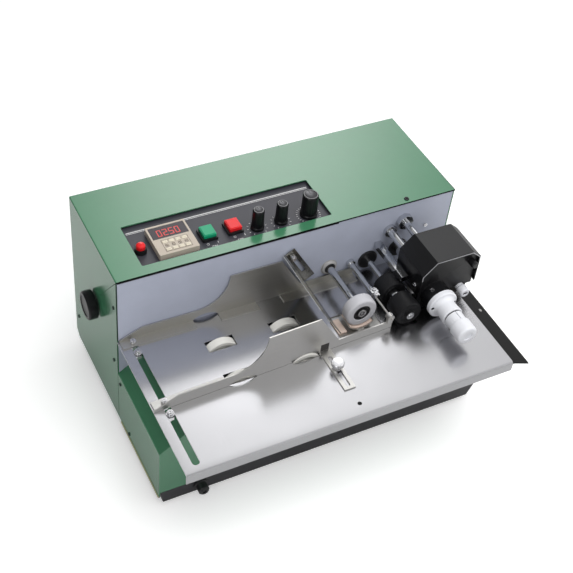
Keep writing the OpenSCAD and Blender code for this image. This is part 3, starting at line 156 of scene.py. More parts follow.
finishes = {
    "greenPaint": {"colour": (0.047, 0.186, 0.094), "shift": 0.05, "rough": 0.19, "roughBroad": 0.05,
                   "roughFine": 0.03, "grain": 1400, "relief": 0.02, "ior": 1.7},
    "panelPaint": {"colour": (0.44, 0.47, 0.57), "shift": 0.08, "rough": 0.4, "grain": 1600, "relief": 0.05},
    "trayPaint": {"colour": (0.014, 0.013, 0.017), "shift": 0.18, "rough": 0.46, "grain": 1500,
                  "relief": 0.12, "dust": 0.006},
    "headPaint": {"colour": (0.004, 0.004, 0.005), "shift": 0.2, "rough": 0.38, "grain": 1800,
                  "relief": 0.1, "dust": 0.001, "ior": 1.5},
    "controlPaint": {"colour": (0.040, 0.040, 0.050), "shift": 0.12, "rough": 0.45, "grain": 1800,
                     "relief": 0.08},
    "lipPaint": {"colour": (0.006, 0.006, 0.006), "shift": 0.15, "rough": 0.5, "grain": 1500,
                 "relief": 0.08, "ior": 1.22},
    "motorPaint": {"colour": (0.045, 0.048, 0.055), "shift": 0.15, "rough": 0.5, "grain": 1200,
                   "relief": 0.15},
    # the table's finish paints shade on its folded skirt, below 153.2 mm
    "brushedTable": {"colour": (0.61, 0.61, 0.63), "metal": 1.0, "shift": 0.03, "rough": 0.23,
                     "roughBroad": 0.03, "roughFine": 0.04, "grain": 2400, "stretch": (1, 0.01, 1),
                     "grainTint": 0.3, "relief": 0.1, "depth": 0.0001, "under": (0.1532, 0.62)},
    "brushedSheet": {"colour": (0.70, 0.69, 0.665), "metal": 1.0, "shift": 0.04, "rough": 0.34,
                     "roughFine": 0.06, "grain": 1500, "stretch": (0.006, 1, 1), "grainTint": 0.5,
                     "relief": 0.02, "depth": 0.00002},
    "brushedDark": {"colour": (0.31, 0.305, 0.28), "metal": 1.0, "shift": 0.05, "rough": 0.2,
                    "roughFine": 0.06, "grain": 1500, "stretch": (0.006, 1, 1), "grainTint": 0.5,
                    "relief": 0.02, "depth": 0.00002},
    "guideSheet": {"colour": (0.60, 0.59, 0.56), "metal": 1.0, "shift": 0.05, "rough": 0.42,
                   "roughFine": 0.06, "grain": 1500, "stretch": (0.006, 1, 1), "grainTint": 0.5,
                   "relief": 0.02, "depth": 0.00002},
    "chromeRod": {"colour": (0.62, 0.63, 0.65), "metal": 1.0, "shift": 0.05, "rough": 0.12,
                  "roughFine": 0.08, "grain": 900, "stretch": (0.05, 1, 0.05), "relief": 0.02,
                  "depth": 0.00003},
    "shaftSteel": {"colour": (0.52, 0.53, 0.55), "metal": 1.0, "shift": 0.08, "rough": 0.28,
                   "roughFine": 0.12, "grain": 900, "stretch": (0.05, 1, 0.05), "relief": 0.04,
                   "depth": 0.00003},
    "brightScrew": {"colour": (0.72, 0.72, 0.74), "metal": 1.0, "shift": 0.06, "rough": 0.2, "grain": 1300,
                    "relief": 0.03, "depth": 0.00003},
    "darkScrew": {"colour": (0.03, 0.031, 0.035), "metal": 0.6, "shift": 0.15, "rough": 0.38, "grain": 1500},
    "castAlloy": {"colour": (0.42, 0.43, 0.44), "metal": 1.0, "shift": 0.12, "rough": 0.45, "grain": 700,
                  "relief": 0.25, "depth": 0.0002},
    "greyZinc": {"colour": (0.46, 0.455, 0.45), "metal": 0.3, "shift": 0.1, "rough": 0.42, "grain": 1400,
                 "relief": 0.08},
    "drumAlloy": {"colour": (0.55, 0.55, 0.56), "metal": 1.0, "shift": 0.08, "rough": 0.3, "grain": 900,
                  "stretch": (0.05, 1, 0.05), "relief": 0.04, "depth": 0.00004},
    "blackPlastic": {"colour": (0.008, 0.008, 0.009), "shift": 0.2, "rough": 0.38, "grain": 2000,
                     "relief": 0.12},
    "dialPlastic": {"colour": (0.005, 0.005, 0.006), "shift": 0.2, "rough": 0.3, "grain": 2000,
                    "relief": 0.05, "ior": 1.36},
    "beigePlastic": {"colour": (0.50, 0.44, 0.37), "shift": 0.06, "rough": 0.48, "grain": 2000,
                     "relief": 0.1},
    "keyPlastic": {"colour": (0.70, 0.64, 0.52), "shift": 0.05, "rough": 0.45, "grain": 2000, "relief": 0.06},
    "displayWindow": {"colour": (0.030, 0.024, 0.030), "shift": 0.2, "rough": 0.3, "grain": 1500, "ior": 1.4},
    "litRed": {"colour": (0.25, 0.03, 0.03), "shift": 0.05, "rough": 0.4, "glow": (1.0, 0.13, 0.12),
               "glowStrength": 0.45},
    "redPlastic": {"colour": (0.72, 0.012, 0.016), "shift": 0.06, "rough": 0.3, "grain": 1600, "ior": 1.42},
    "greenPlastic": {"colour": (0.004, 0.30, 0.145), "shift": 0.06, "rough": 0.3, "grain": 1600, "ior": 1.42},
    "whiteNylon": {"colour": (0.80, 0.81, 0.85), "shift": 0.03, "rough": 0.42, "grain": 1500, "relief": 0.05},
    "wheelRubber": {"colour": (0.72, 0.71, 0.67), "shift": 0.05, "rough": 0.62, "grain": 1800,
                    "relief": 0.12},
    "tyreRubber": {"colour": (0.52, 0.52, 0.55), "shift": 0.05, "rough": 0.5, "grain": 1500, "relief": 0.1},
    "rollerRubber": {"colour": (0.007, 0.007, 0.008), "shift": 0.2, "rough": 0.5, "grain": 1700,
                     "relief": 0.18, "dust": 0.002, "ior": 1.35},
    "beltRubber": {"colour": (0.014, 0.014, 0.015), "shift": 0.2, "rough": 0.65, "grain": 1500,
                   "relief": 0.2},
    "footRubber": {"colour": (0.012, 0.012, 0.012), "shift": 0.2, "rough": 0.7, "grain": 1500,
                   "relief": 0.25},
    "padRubber": {"colour": (0.62, 0.50, 0.43), "shift": 0.08, "rough": 0.66, "grain": 1600, "relief": 0.2},
    "inkFelt": {"colour": (0.010, 0.007, 0.007), "shift": 0.25, "rough": 0.8, "grain": 1400, "relief": 0.4},
    "boardLacquer": {"colour": (0.015, 0.14, 0.05), "shift": 0.12, "rough": 0.35, "grain": 1200,
                     "relief": 0.1},
    "coreSheet": {"colour": (0.22, 0.20, 0.17), "metal": 0.7, "shift": 0.12, "rough": 0.5, "grain": 1200,
                  "stretch": (1, 0.02, 1), "relief": 0.3},
    "whitePrint": {"colour": (0.70, 0.70, 0.70), "shift": 0.03, "rough": 0.5, "grain": 1800},
    "darkPrint": {"colour": (0.02, 0.02, 0.022), "shift": 0.1, "rough": 0.5, "grain": 1800},
    "capRim": {"colour": (0.17, 0.17, 0.175), "metal": 1.0, "shift": 0.05, "rough": 0.25, "grain": 1500},
    "spunCap": {"colour": (0.085, 0.085, 0.09), "metal": 1.0, "shift": 0.05, "rough": 0.3, "grain": 1500},
    "yellowEdge": {"colour": (0.62, 0.55, 0.36), "metal": 0.3, "shift": 0.1, "rough": 0.4, "grain": 1200},
    # painted highlight for the gate's top edge
    "paintedEdgeHighlight": {"colour": (0.95, 0.95, 0.96), "metal": 0.0, "shift": 0.02, "rough": 0.35, "grain": 1500,
                   "ior": 1.7},
    "bareEdgeAndHighlight": {"colour": (0.42, 0.42, 0.44), "metal": 0.3, "shift": 0.2, "rough": 0.4, "grain": 1500},
    # painted shade for the gap at the side wall's front edge
    "paintedSeamShade": {"colour": (0.010, 0.034, 0.018), "shift": 0.1, "rough": 0.5},
    "keyLine": {"colour": (0.15, 0.125, 0.10), "shift": 0.1, "rough": 0.6},
    "shadeDark": {"colour": (0.045, 0.043, 0.040), "shift": 0.1, "rough": 0.6},
    # painted shade: near black for the insides of holes, slots and grooves, and under the cover's lip
    "paintedRecessShade": {"colour": (0.006, 0.006, 0.007), "shift": 0.1, "rough": 0.7},
}
paint = {name: finish(name, look) for name, look in finishes.items()}
print("finishes made:", len(paint))


def piece(name, mesh, material, body):
    made = bpy.data.objects.new(name, mesh)
    scene.collection.objects.link(made)
    mesh.materials.clear()
    mesh.materials.append(material)
    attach(made, body)
    return made


# angles in degrees but for the bend in radians, lengths in metres
edgeRule = {"sharp": 32, "bendArea": 0.002, "bendAngle": 0.4, "bendSteps": 5, "merge": 0.000004, "flat": 0.6}


def softEdges(made, width, segments):
    edge = made.modifiers.new("softEdge", "BEVEL")
    edge.width = width / 1000
    edge.segments = segments
    edge.limit_method = "ANGLE"
    edge.angle_limit = math.radians(edgeRule["sharp"])
    edge.harden_normals = True


def roundBends(work, radius):  # outer bends of folded sheet, where two broad faces meet
    bends = [edge for edge in work.edges if len(edge.link_faces) == 2 and edge.is_convex
             and min(face.calc_area() for face in edge.link_faces) > edgeRule["bendArea"]
             and edge.calc_face_angle() > edgeRule["bendAngle"]]
    bmesh.ops.bevel(work, geom=bends, offset=radius / 1000, segments=edgeRule["bendSteps"], profile=0.5,
                    affect="EDGES")


def dress(node, material, width, segments=2, bend=0):  # a merged copy of the solid with broken edges
    mesh = frame["nodes"][node].data.copy()
    work = bmesh.new()
    work.from_mesh(mesh)
    bmesh.ops.remove_doubles(work, verts=work.verts, dist=edgeRule["merge"])
    bmesh.ops.dissolve_limit(work, angle_limit=math.radians(edgeRule["flat"]), verts=work.verts,
                             edges=work.edges)
    if bend > 0:
        roundBends(work, bend)
    for face in work.faces:
        face.smooth = True
    work.to_mesh(mesh)
    work.free()
    mesh.set_sharp_from_angle(angle=math.radians(edgeRule["sharp"]))
    words = node.split("_")
    name = words[0] + "".join(w.capitalize() for w in words[1:]) + "Finished"
    made = piece(name, mesh, paint[material], bodyOfNode[node])
    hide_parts(node)
    softEdges(made, width, segments)
    if bend > 0:  # flat faces keep flat normals beside a round fold
        flat = made.modifiers.new("flatFaces", "WEIGHTED_NORMAL")
        flat.keep_sharp = True


dressing = {  # solid: finish, edge radius in mm, then steps round the edge and radius of its folds
    "base_tray": ("trayPaint", 0.6, 2, 1.2), "rubber_feet": ("footRubber", 0.3),
    "fuse_holder": ("blackPlastic", 0.3), "lower_casing": ("greenPaint", 0.4, 2, 1.2),
    "front_panel": ("panelPaint", 0.25), "top_cover": ("greenPaint", 0.4, 2, 1.3),
    "control_plate": ("controlPaint", 0.2), "counter_case": ("beigePlastic", 0.2),
    "counter_window": ("displayWindow", 0.12), "keys_plus": ("keyPlastic", 0.15),
    "keys_minus": ("keyPlastic", 0.15), "button_collars": ("blackPlastic", 0.25),
    "reset_button": ("redPlastic", 0.3), "start_button": ("greenPlastic", 0.3),
    "stop_button": ("redPlastic", 0.3), "temperature_dial": ("dialPlastic", 0.1),
    "position_dial": ("dialPlastic", 0.1), "speed_dial": ("dialPlastic", 0.1),
    "hand_knob": ("dialPlastic", 0.3), "motor_shaft": ("shaftSteel", 0.2),
    "gear_motor": ("motorPaint", 0.5), "gearbox": ("castAlloy", 0.8), "drive_belts": ("beltRubber", 0.15),
    "control_board": ("boardLacquer", 0.2), "transformer": ("coreSheet", 0.3),
    "power_inlet": ("blackPlastic", 0.2), "work_table": ("brushedTable", 0.2),
    "exit_lip": ("lipPaint", 0.2), "rear_guide": ("guideSheet", 0.18), "clamp_bolts": ("brightScrew", 0.25),
    "front_guide": ("brushedSheet", 0.18), "front_clamp_bolts": ("brightScrew", 0.25),
    "thumb_screw": ("brightScrew", 0.15), "stop_gate": ("brushedDark", 0.15),
    "guide_rod": ("chromeRod", 0.2), "shaft_bearings": ("blackPlastic", 0.2),
    "front_bearing_plate": ("castAlloy", 0.4), "wheel_shaft_left": ("shaftSteel", 0.2),
    "wheels_left": ("wheelRubber", 0.3), "wheel_shaft_right": ("shaftSteel", 0.2),
    "wheels_right": ("wheelRubber", 0.3), "feed_shaft": ("chromeRod", 0.2),
    "feed_hub": ("blackPlastic", 0.2), "feed_tyre": ("tyreRubber", 1.4, 4),
    "separator_plate": ("brushedSheet", 0.1), "separator_pad": ("padRubber", 0.2),
    "press_shaft": ("chromeRod", 0.15), "press_rollers": ("rollerRubber", 0.4),
    "lower_roller": ("rollerRubber", 0.15), "platen_roller": ("rollerRubber", 0.15),
    "drum_shaft": ("chromeRod", 0.15), "type_drum": ("drumAlloy", 0.2), "drum_knob": ("whiteNylon", 0.4),
    "ink_roll": ("inkFelt", 0.2), "ink_spindle": ("whiteNylon", 0.25), "heater_block": ("drumAlloy", 0.4),
    "head_posts": ("chromeRod", 0.25), "head_plate": ("headPaint", 0.3),
    "head_cover": ("headPaint", 0.3, 2, 0.8)
}
for node, (material, *edge) in dressing.items():
    dress(node, material, *edge)
print("solids dressed:", len(dressing))


# outline of radius and height in mm, turned about an axis
def turnedMesh(name, outline, centre, axis, steps=40):
    basis = Vector(axis).to_track_quat("Z", "Y").to_matrix()
    work = bmesh.new()
    rings = []
    for radius, height in outline:
        around = 1 if radius == 0 else steps
        ring = []
        for k in range(around):
            turn = 2 * math.pi * k / steps
            spot = Vector((radius * math.cos(turn), radius * math.sin(turn), height)) / 1000
            ring.append(work.verts.new(at(*centre) + basis @ spot))
        rings.append(ring)
    for low, high in zip(rings, rings[1:]):
        for k in range(steps):
            corners = [low[k % len(low)], low[(k + 1) % len(low)], high[(k + 1) % len(high)],
                       high[k % len(high)]]
            corners = [c for n, c in enumerate(corners) if c not in corners[:n]]
            if len(corners) > 2:
                work.faces.new(corners)
    bmesh.ops.recalc_face_normals(work, faces=work.faces)
    for face in work.faces:
        face.smooth = True
    mesh = bpy.data.meshes.new(name)
    work.to_mesh(mesh)
    work.free()
    mesh.set_sharp_from_angle(angle=math.radians(edgeRule["sharp"]))
    return mesh


def boxesMesh(name, boxes):  # boxes of low corner, high corner in mm
    work = bmesh.new()
    for low, high in boxes:
        middle = (at(*low) + at(*high)) / 2
        made = bmesh.ops.create_cube(work, size=1.0)
        for vert in made["verts"]:
            vert.co = Vector(c * abs(h - l) / 1000 for c, l, h in zip(vert.co, low, high)) + middle
    mesh = bpy.data.meshes.new(name)
    work.to_mesh(mesh)
    work.free()
    return mesh


def nodeTree(name, sockets):
    tree = bpy.data.node_groups.new(name, "GeometryNodeTree")
    tree.interface.new_socket("Geometry", in_out="INPUT", socket_type="NodeSocketGeometry")
    for label, kind in sockets.items():
        tree.interface.new_socket(label, in_out="INPUT", socket_type="NodeSocket" + kind)
    tree.interface.new_socket("Geometry", in_out="OUTPUT", socket_type="NodeSocketGeometry")
    entry = tree.nodes.new("NodeGroupInput")
    leave = tree.nodes.new("NodeGroupOutput")
    return tree, {socket.name: Wire(tree, socket) for socket in entry.outputs if socket.name}, leave


def grown(name, tree, carrierMesh, values, material, body):  # the tree's result as a plain mesh
    carrier = bpy.data.objects.new(name + "Carrier", carrierMesh)
    scene.collection.objects.link(carrier)
    build = carrier.modifiers.new("build", "NODES")
    build.node_group = tree
    for item in tree.interface.items_tree:
        if item.in_out == "INPUT" and item.name in values:
            build[item.identifier] = values[item.name]
    ready = carrier.evaluated_get(bpy.context.evaluated_depsgraph_get())
    mesh = bpy.data.meshes.new_from_object(ready)
    mesh.name = name
    carrier.modifiers.remove(build)
    bpy.data.objects.remove(carrier)
    return piece(name, mesh, material, body)


screwShape = {"sides": 28, "taper": 0.8, "depth": 1.5, "sink": -0.5, "slot": (1.15, 0.3), "slotLift": 0.95}


def screwTree():  # cone heads with a cross slot, set on points
    tree, put, leave = nodeTree("screws", {"headRadius": "Float", "headHeight": "Float",
                                           "Material": "Material"})
    begin = Wire(tree)
    radius, height = put["headRadius"], put["headHeight"]
    solid = begin.node("GeometryNodeMeshCone", {"fill_type": "NGON"}, {
        "Vertices": screwShape["sides"], "Radius Top": radius * screwShape["taper"],
        "Radius Bottom": radius, "Depth": height * screwShape["depth"]})
    solid = begin.node("GeometryNodeTransform", None, {"Geometry": solid, "Translation": begin.node(
        "ShaderNodeCombineXYZ", None, {"Z": height * screwShape["sink"]})})
    arms = []
    for along, across in (screwShape["slot"], screwShape["slot"][::-1]):
        arm = begin.node("GeometryNodeMeshCube", None, {"Size": begin.node("ShaderNodeCombineXYZ", None, {
            "X": radius * along, "Y": radius * across, "Z": height})})
        arms.append(begin.node("GeometryNodeTransform", None, {"Geometry": arm, "Translation": begin.node(
            "ShaderNodeCombineXYZ", None, {"Z": height * screwShape["slotLift"]})}))
    cut = begin.node("GeometryNodeMeshBoolean", {"operation": "DIFFERENCE"}, {0: solid})
    for arm in arms:
        tree.links.new(arm.socket, cut.socket.node.inputs[1])
    facing = begin.node("GeometryNodeInputNamedAttribute", {"data_type": "FLOAT_VECTOR"},
                        {"Name": "facing"})
    spin = begin.node("GeometryNodeInputNamedAttribute", {"data_type": "FLOAT"}, {"Name": "spin"})
    aimed = begin.node("FunctionNodeAlignRotationToVector", {"axis": "Z"}, {"Vector": facing})
    twist = begin.node("FunctionNodeAxisAngleToRotation", None, {"Axis": (0, 0, 1), "Angle": spin})
    aimed = begin.node("FunctionNodeRotateRotation", {"rotation_space": "LOCAL"},
                       {"Rotation": aimed, "Rotate By": twist})
    spread = begin.node("GeometryNodeInstanceOnPoints", None,
                        {"Points": put["Geometry"], "Instance": cut, "Rotation": aimed})
    real = begin.node("GeometryNodeRealizeInstances", None, {"Geometry": spread})
    dressed = begin.node("GeometryNodeSetMaterial", None, {"Geometry": real, "Material": put["Material"]})
    tree.links.new(dressed.socket, leave.inputs[0])
    return tree


def tickTree():  # bars along an arc, set on points
    tree, put, leave = nodeTree("ticks", {
        "count": "Int", "radius": "Float", "sweep": "Float", "length": "Float", "width": "Float",
        "height": "Float", "Material": "Material"})
    begin = Wire(tree)
    line = begin.node("GeometryNodeMeshLine", None, {"Count": put["count"]})
    index = begin.node("GeometryNodeInputIndex")
    share = begin.sum("DIVIDE", index, put["count"] - 1)
    turn = math.pi / 2 + (share - 0.5) * put["sweep"]
    cosine = begin.node("ShaderNodeMath", {"operation": "COSINE"}, {0: turn})
    sine = begin.node("ShaderNodeMath", {"operation": "SINE"}, {0: turn})
    spot = begin.node("ShaderNodeCombineXYZ", None, {"X": cosine * put["radius"],
                                                     "Y": sine * put["radius"]})
    ring = begin.node("GeometryNodeSetPosition", None, {"Geometry": line, "Position": spot})
    bar = begin.node("GeometryNodeMeshCube", None, {"Size": begin.node("ShaderNodeCombineXYZ", None, {
        "X": put["length"], "Y": put["width"], "Z": put["height"]})})
    tilt = begin.node("FunctionNodeAxisAngleToRotation", None, {"Axis": (0, 0, 1), "Angle": turn})
    spread = begin.node("GeometryNodeInstanceOnPoints", None,
                        {"Points": ring, "Instance": bar, "Rotation": tilt})
    placed = begin.node("GeometryNodeInstanceOnPoints", None,
                        {"Points": put["Geometry"], "Instance": spread})
    real = begin.node("GeometryNodeRealizeInstances", None, {"Geometry": placed})
    dressed = begin.node("GeometryNodeSetMaterial", None, {"Geometry": real, "Material": put["Material"]})
    tree.links.new(dressed.socket, leave.inputs[0])
    return tree


def spotsMesh(name, spots):  # points with the way they face and their spin in degrees
    mesh = bpy.data.meshes.new(name)
    mesh.from_pydata([at(*spot) for spot, way, spin in spots], [], [])
    mesh.attributes.new("facing", "FLOAT_VECTOR", "POINT")
    mesh.attributes.new("spin", "FLOAT", "POINT")
    for k, (spot, way, spin) in enumerate(spots):
        mesh.attributes["facing"].data[k].vector = Vector(way).normalized()
        mesh.attributes["spin"].data[k].value = math.radians(spin)
    return mesh


left, right, front = (-1, 0, 0), (1, 0, 0), (0, -1, 0)
back, upward, downward = (0, 1, 0), (0, 0, 1), (0, 0, -1)
screwSets = {  # name: finish, slot, body, head radius and height in mm, then place, way and spin
    "caseScrews": ("darkScrew", "bright_screw", "frame", 2.6, 1.1, [
        ((0, 9.2, 201.9), left, 20), ((0, 11.6, 112), left, 65), ((0, -7.5, 88.1), left, 40),
        ((0, -34.6, 26), left, 10), ((437.5, 9.2, 201.9), right, 35), ((437.5, 11.6, 112), right, 80),
        ((0, 140, 60), left, 15), ((437.5, 140, 60), right, 55), ((12, 152.5, 238), back, 15),
        ((425.5, 152.5, 238), back, 70), ((12, 152.5, 46), back, 40), ((425.5, 152.5, 46), back, 25)]),
    "topScrew": ("darkScrew", "bright_screw", "frame", 3.4, 1.1, [((371.6, 5.2, 250.5), upward, 30)]),
    "lipScrew": ("greyZinc", "bright_screw", "frame", 2.2, 0.9,
                 [((426.8, -110.8, 147.9), (0.433, 0, 0.9), 20)]),
    "panelScrews": ("brightScrew", "bright_screw", "frame", 3.0, 1.3, [
        ((404.4, 0, 202.9), front, 20), ((358.4, -94.3, 193.5), (-0.53, 0, 0.85), 50),
        ((344.5, -77.5, 192), left, 15), ((301, -58.5, 182), upward, 35),
        ((300.8, -65.8, 181), upward, 60), ((216.49, -7.5, 215.74), front, 60),
        ((16, -9.2, 160.1), upward, 25), ((16, -24, 158.6), upward, 70)]),
    "guideScrews": ("brightScrew", "bright_screw", "guide", 3.0, 0.9, [
        ((15.6, -103.3, 160.3), upward, 30), ((16, -119.3, 158.6), upward, 75),
        ((301, -98.9, 178), upward, 15)]),
    "knobScrew": ("brightScrew", "bright_screw", "drum", 1.8, 0.9, [((380.9, -127, 178.2), right, 30)]),
    "pressScrew": ("brightScrew", "bright_screw", "press", 4.0, 1.0, [((326, -105, 172), front, 30)]),
    "feedScrew": ("brightScrew", "bright_screw", "feed", 2.4, 1.4, [((271.5, -82.5, 177.3), front, 20)]),
    "footScrews": ("brightScrew", "bright_screw", "frame", 2.6, 1.2, [
        ((x, y, 4), downward, 20 + x / 7) for x in (40, 397.5) for y in (-99, 112.5)]),
    "inletScrews": ("brightScrew", "bright_screw", "frame", 2.6, 1.0, [
        ((359.5, 154.5, 70), back, 20), ((395.5, 154.5, 70), back, 65)]),
}
screws = screwTree()
for name, (material, slotName, body, radius, height, spots) in screwSets.items():
    head = {"headRadius": radius / 1000, "headHeight": height / 1000, "Material": paint[material]}
    grown(name, screws, spotsMesh(name + "Spots", spots), head, paint[material], body)
print("screws set:", sum(len(row[5]) for row in screwSets.values()))

# dials: scales, caps and pointers
plateTop = 246.5  # upper face of the control plate in mm
dialSets = {"dial_temperature": {"place": (183.5, 27.5), "radius": 7.25, "height": 28, "ticks": 11},
            "dial_position": {"place": (214, 27.5), "radius": 7.25, "height": 28, "ticks": 11},
            "dial_speed": {"place": (250, 27), "radius": 9.75, "height": 31, "ticks": 21}}
dialShape = {"sink": 0.6, "lift": 0.05, "scaleGap": 4.2, "sweep": 280, "tick": (1.8, 0.5, 0.16),
             "capInset": 2.1}
ticks = tickTree()
for body, dial in dialSets.items():
    x, y = dial["place"]
    top = plateTop + dial["height"] - dialShape["sink"]
    label = body.split("_")[1]
    length, width, height = (size / 1000 for size in dialShape["tick"])
    scale = {"count": dial["ticks"], "radius": (dial["radius"] + dialShape["scaleGap"]) / 1000,
             "sweep": math.radians(dialShape["sweep"]), "length": length, "width": width, "height": height,
             "Material": paint["whitePrint"]}
    spot = spotsMesh(label + "Spot", [((x, y, plateTop + dialShape["lift"]), upward, 0)])
    grown(label + "Scale", ticks, spot, scale, paint["whitePrint"], "frame")
    inner = dial["radius"] - dialShape["capInset"]
    capLine = [(0, -0.3), (inner, -0.3), (inner, 0.5), (inner - 0.4, 0.7), (0, 0.7)]
    piece(label + "Cap", turnedMesh(label + "Cap", capLine, (x, y, top), upward), paint["spunCap"], body)
    rimLine = [(inner, -0.3), (inner + 0.9, -0.3), (inner + 0.9, 0.6), (inner + 0.5, 0.9), (inner, 0.9)]
    piece(label + "Rim", turnedMesh(label + "Rim", rimLine, (x, y, top), upward), paint["capRim"], body)
    outer = dial["radius"] + 0.5
    marks = [((x - 0.35, y + 1.2, top + 0.6), (x + 0.35, y + inner - 0.6, top + 0.85)),
             ((x - 0.4, y + outer, plateTop + 0.9), (x + 0.4, y + outer + 0.45, plateTop + 3.3))]
    piece(label + "Pointer", boxesMesh(label + "Pointer", marks), paint["darkPrint"], body)
print("dials marked")

# counter: lit digits and preset digits
strokes = {"a": ((0, 2), (1, 2)), "b": ((1, 1), (1, 2)), "c": ((1, 0), (1, 1)), "d": ((0, 0), (1, 0)),
           "e": ((0, 0), (0, 1)), "f": ((0, 1), (0, 2)), "g": ((0, 1), (1, 1))}
digitStrokes = {"0": "abcdef", "2": "abged", "5": "afgcd"}


def digitBoxes(sign, x, y, z, width, height, line, raised=0.12):
    boxes = []
    for stroke in digitStrokes[sign]:
        (x0, y0), (x1, y1) = strokes[stroke]
        boxes.append(((x + x0 * width - line / 2, y + y0 * height / 2 - line / 2, z),
                      (x + x1 * width + line / 2, y + y1 * height / 2 + line / 2, z + raised)))
    return boxes


counterSet = {
    "litDigits": {"signs": "0250", "place": (69.4, 46.6, 254.3), "pitch": 7.2, "size": (4.2, 9.4),
        "line": 1.15, "finish": "litRed", "slot": "red_plastic"},
    "presetDigits": {"signs": "0500", "place": (71.3, 28.4, 253.5), "pitch": 7.8, "size": (1.7, 3.2),
        "line": 0.5, "finish": "darkPrint", "slot": "dial_black"},
}
for name, row in counterSet.items():
    x, y, z = row["place"]
    boxes = []
    for k, sign in enumerate(row["signs"]):
        boxes += digitBoxes(sign, x + k * row["pitch"], y, z, *row["size"], row["line"])
    piece(name, boxesMesh(name, boxes), paint[row["finish"]], "frame")

# print on the control plate: two lines, and 0 and I beside the square buttons
printSet = {"reach": (39, 270), "lines": ((71.4, 72.6), (69.6, 70.2)), "high": 0.1, "zero": 2.4,
            "stroke": 0.4, "marks": ((119.5, 22.4), (153.2, 22.9)), "bar": (12.2, 12.8), "barHalf": 1.4}
printTop = plateTop + printSet["high"]
printBoxes = [((printSet["reach"][0], low, plateTop), (printSet["reach"][1], high, printTop))
              for low, high in printSet["lines"]]
for x, y in printSet["marks"]:
    half = printSet["zero"] / 2
    printBoxes += digitBoxes("0", x - half, y - half, plateTop, printSet["zero"], printSet["zero"],
                             printSet["stroke"], printSet["high"])
    printBoxes.append(((x + printSet["bar"][0], y - printSet["barHalf"], plateTop),
                       (x + printSet["bar"][1], y + printSet["barHalf"], printTop)))
piece("platePrint", boxesMesh("platePrint", printBoxes), paint["whitePrint"], "frame")
words = {"wordOn": {"text": "ON", "place": (122.6, 15.9), "size": 4.2, "half": 0.06},
         "wordOff": {"text": "OFF", "place": (154.2, 15.4), "size": 4.2, "half": 0.06}}
for name, word in words.items():
    letters = bpy.data.curves.new(name, "FONT")
    letters.body = word["text"]
    letters.size = word["size"] / 1000
    letters.extrude = word["half"] / 1000
    carrier = bpy.data.objects.new(name + "Carrier", letters)
    scene.collection.objects.link(carrier)
    mesh = bpy.data.meshes.new_from_object(carrier.evaluated_get(bpy.context.evaluated_depsgraph_get()))
    bpy.data.objects.remove(carrier)
    mesh.transform(Matrix.Translation(at(*word["place"], plateTop + 0.05)))
    piece(name, mesh, paint["whitePrint"], "frame")
print("counter and print added")

# small fittings that the solids leave out
fittings = {
    # painted shadow: a black strip under the cover's front lip
    "sealStrip": ("paintedRecessShade", "black_plastic", [((2, -0.7, 246.8), (276, 0.1, 249))]),
    # a yellowish strip along the foot of the left side
    "zincStrip": ("yellowEdge", "cast_alloy", [((-1.0, -128, 18.2), (1.2, -8, 19.6))]),
    "rodClamp": ("brightScrew", "bright_screw", [((297.6, -68.2, 175), (304, -63.4, 181))]),
    # painted shade: dark strips in the gap along the side wall's front edge
    "sideSeam": ("paintedSeamShade", "green_paint", [
        ((-0.1, -0.6, 21), (0.15, 0.2, 150)), ((0.05, -0.12, 156), (1.45, 0.1, 249))]),
    "keyFrame": ("keyLine", "counter_beige", [
        ((68.2, 20.4, 254.4), (100, 20.9, 254.6)), ((68.2, 39.2, 254.4), (100, 39.6, 254.6)),
        ((68.2, 20.9, 254.4), (68.6, 39.2, 254.6)), ((99.6, 20.9, 254.4), (100, 39.2, 254.6))]),
    "inletBlades": ("brightScrew", "bright_screw", [
        ((370.4, 140, 68.6), (372.2, 151, 72.4)), ((382.8, 140, 68.6), (384.6, 151, 72.4)),
        ((376.6, 140, 71.6), (378.4, 151, 75.4))]),
}
for name, (material, slotName, boxes) in fittings.items():
    piece(name, boxesMesh(name, boxes), paint[material], "frame")
# painted shade: dark discs set inside the knob's two holes
shadeInKnobHole = [(0, 5.9), (2.35, 5.9), (2.35, 5.2)]
turnedSets = {  # finish, slot, body, centre, way, outline of radius and height
    "feedFlange": ("greyZinc", "cast_alloy", "frame", (271.5, 0, 177.3), front,
                   [(7.2, 2.9), (7.2, 3.1), (8.3, 3.1), (9.75, 2.1), (9.75, 0.02), (11.2, 0.02),
                    (11.2, -0.2)]),
    "feedWasher": ("brightScrew", "bright_screw", "feed", (271.5, -84, 177.3), front,
                   [(3.05, -0.2), (3.05, 0.25), (5.4, 0.25), (5.6, -0.2)]),
    # painted shade: a dark disc for the spare tapped hole in the table
    "spareHole": ("paintedRecessShade", "black_plastic", "frame", (214.5, -186.2, 154), upward,
                  [(0, 0), (2.5, 0), (2.5, 0.6)]),
    "knobHoleLeft": ("paintedRecessShade", "black_plastic", "drum", (353.2, -103, 178.2), front, shadeInKnobHole),
    "knobHoleRight": ("paintedRecessShade", "black_plastic", "drum", (382.8, -103, 178.2), front, shadeInKnobHole),
    "pressCollar": ("chromeRod", "chrome_rod", "press", (326, -66, 172), front,
                    [(4.2, 0.1), (8.5, 0.1), (8.5, 10.9), (4.2, 10.9)]),
    # painted shade: a dark ring in the knob's groove
    "knobGroove": ("paintedRecessShade", "black_plastic", "drum", (368, -103, 178.2), front,
                   [(10.2, 27.05), (10.9, 27.05), (10.9, 28.55), (10.2, 28.55)]),
}
for name, (material, slotName, body, centre, way, outline) in turnedSets.items():
    piece(name, turnedMesh(name, outline, centre, way), paint[material], body)
# painted shade: a dark box for the slot in the ink spindle's end
inkShadeSet = {"slot": ((403.2, -99.06, 173.1), (410.1, -98.2, 174.3))}
piece("shadeInInkSlot", boxesMesh("shadeInInkSlot", [inkShadeSet["slot"]]), paint["paintedRecessShade"], "ink")


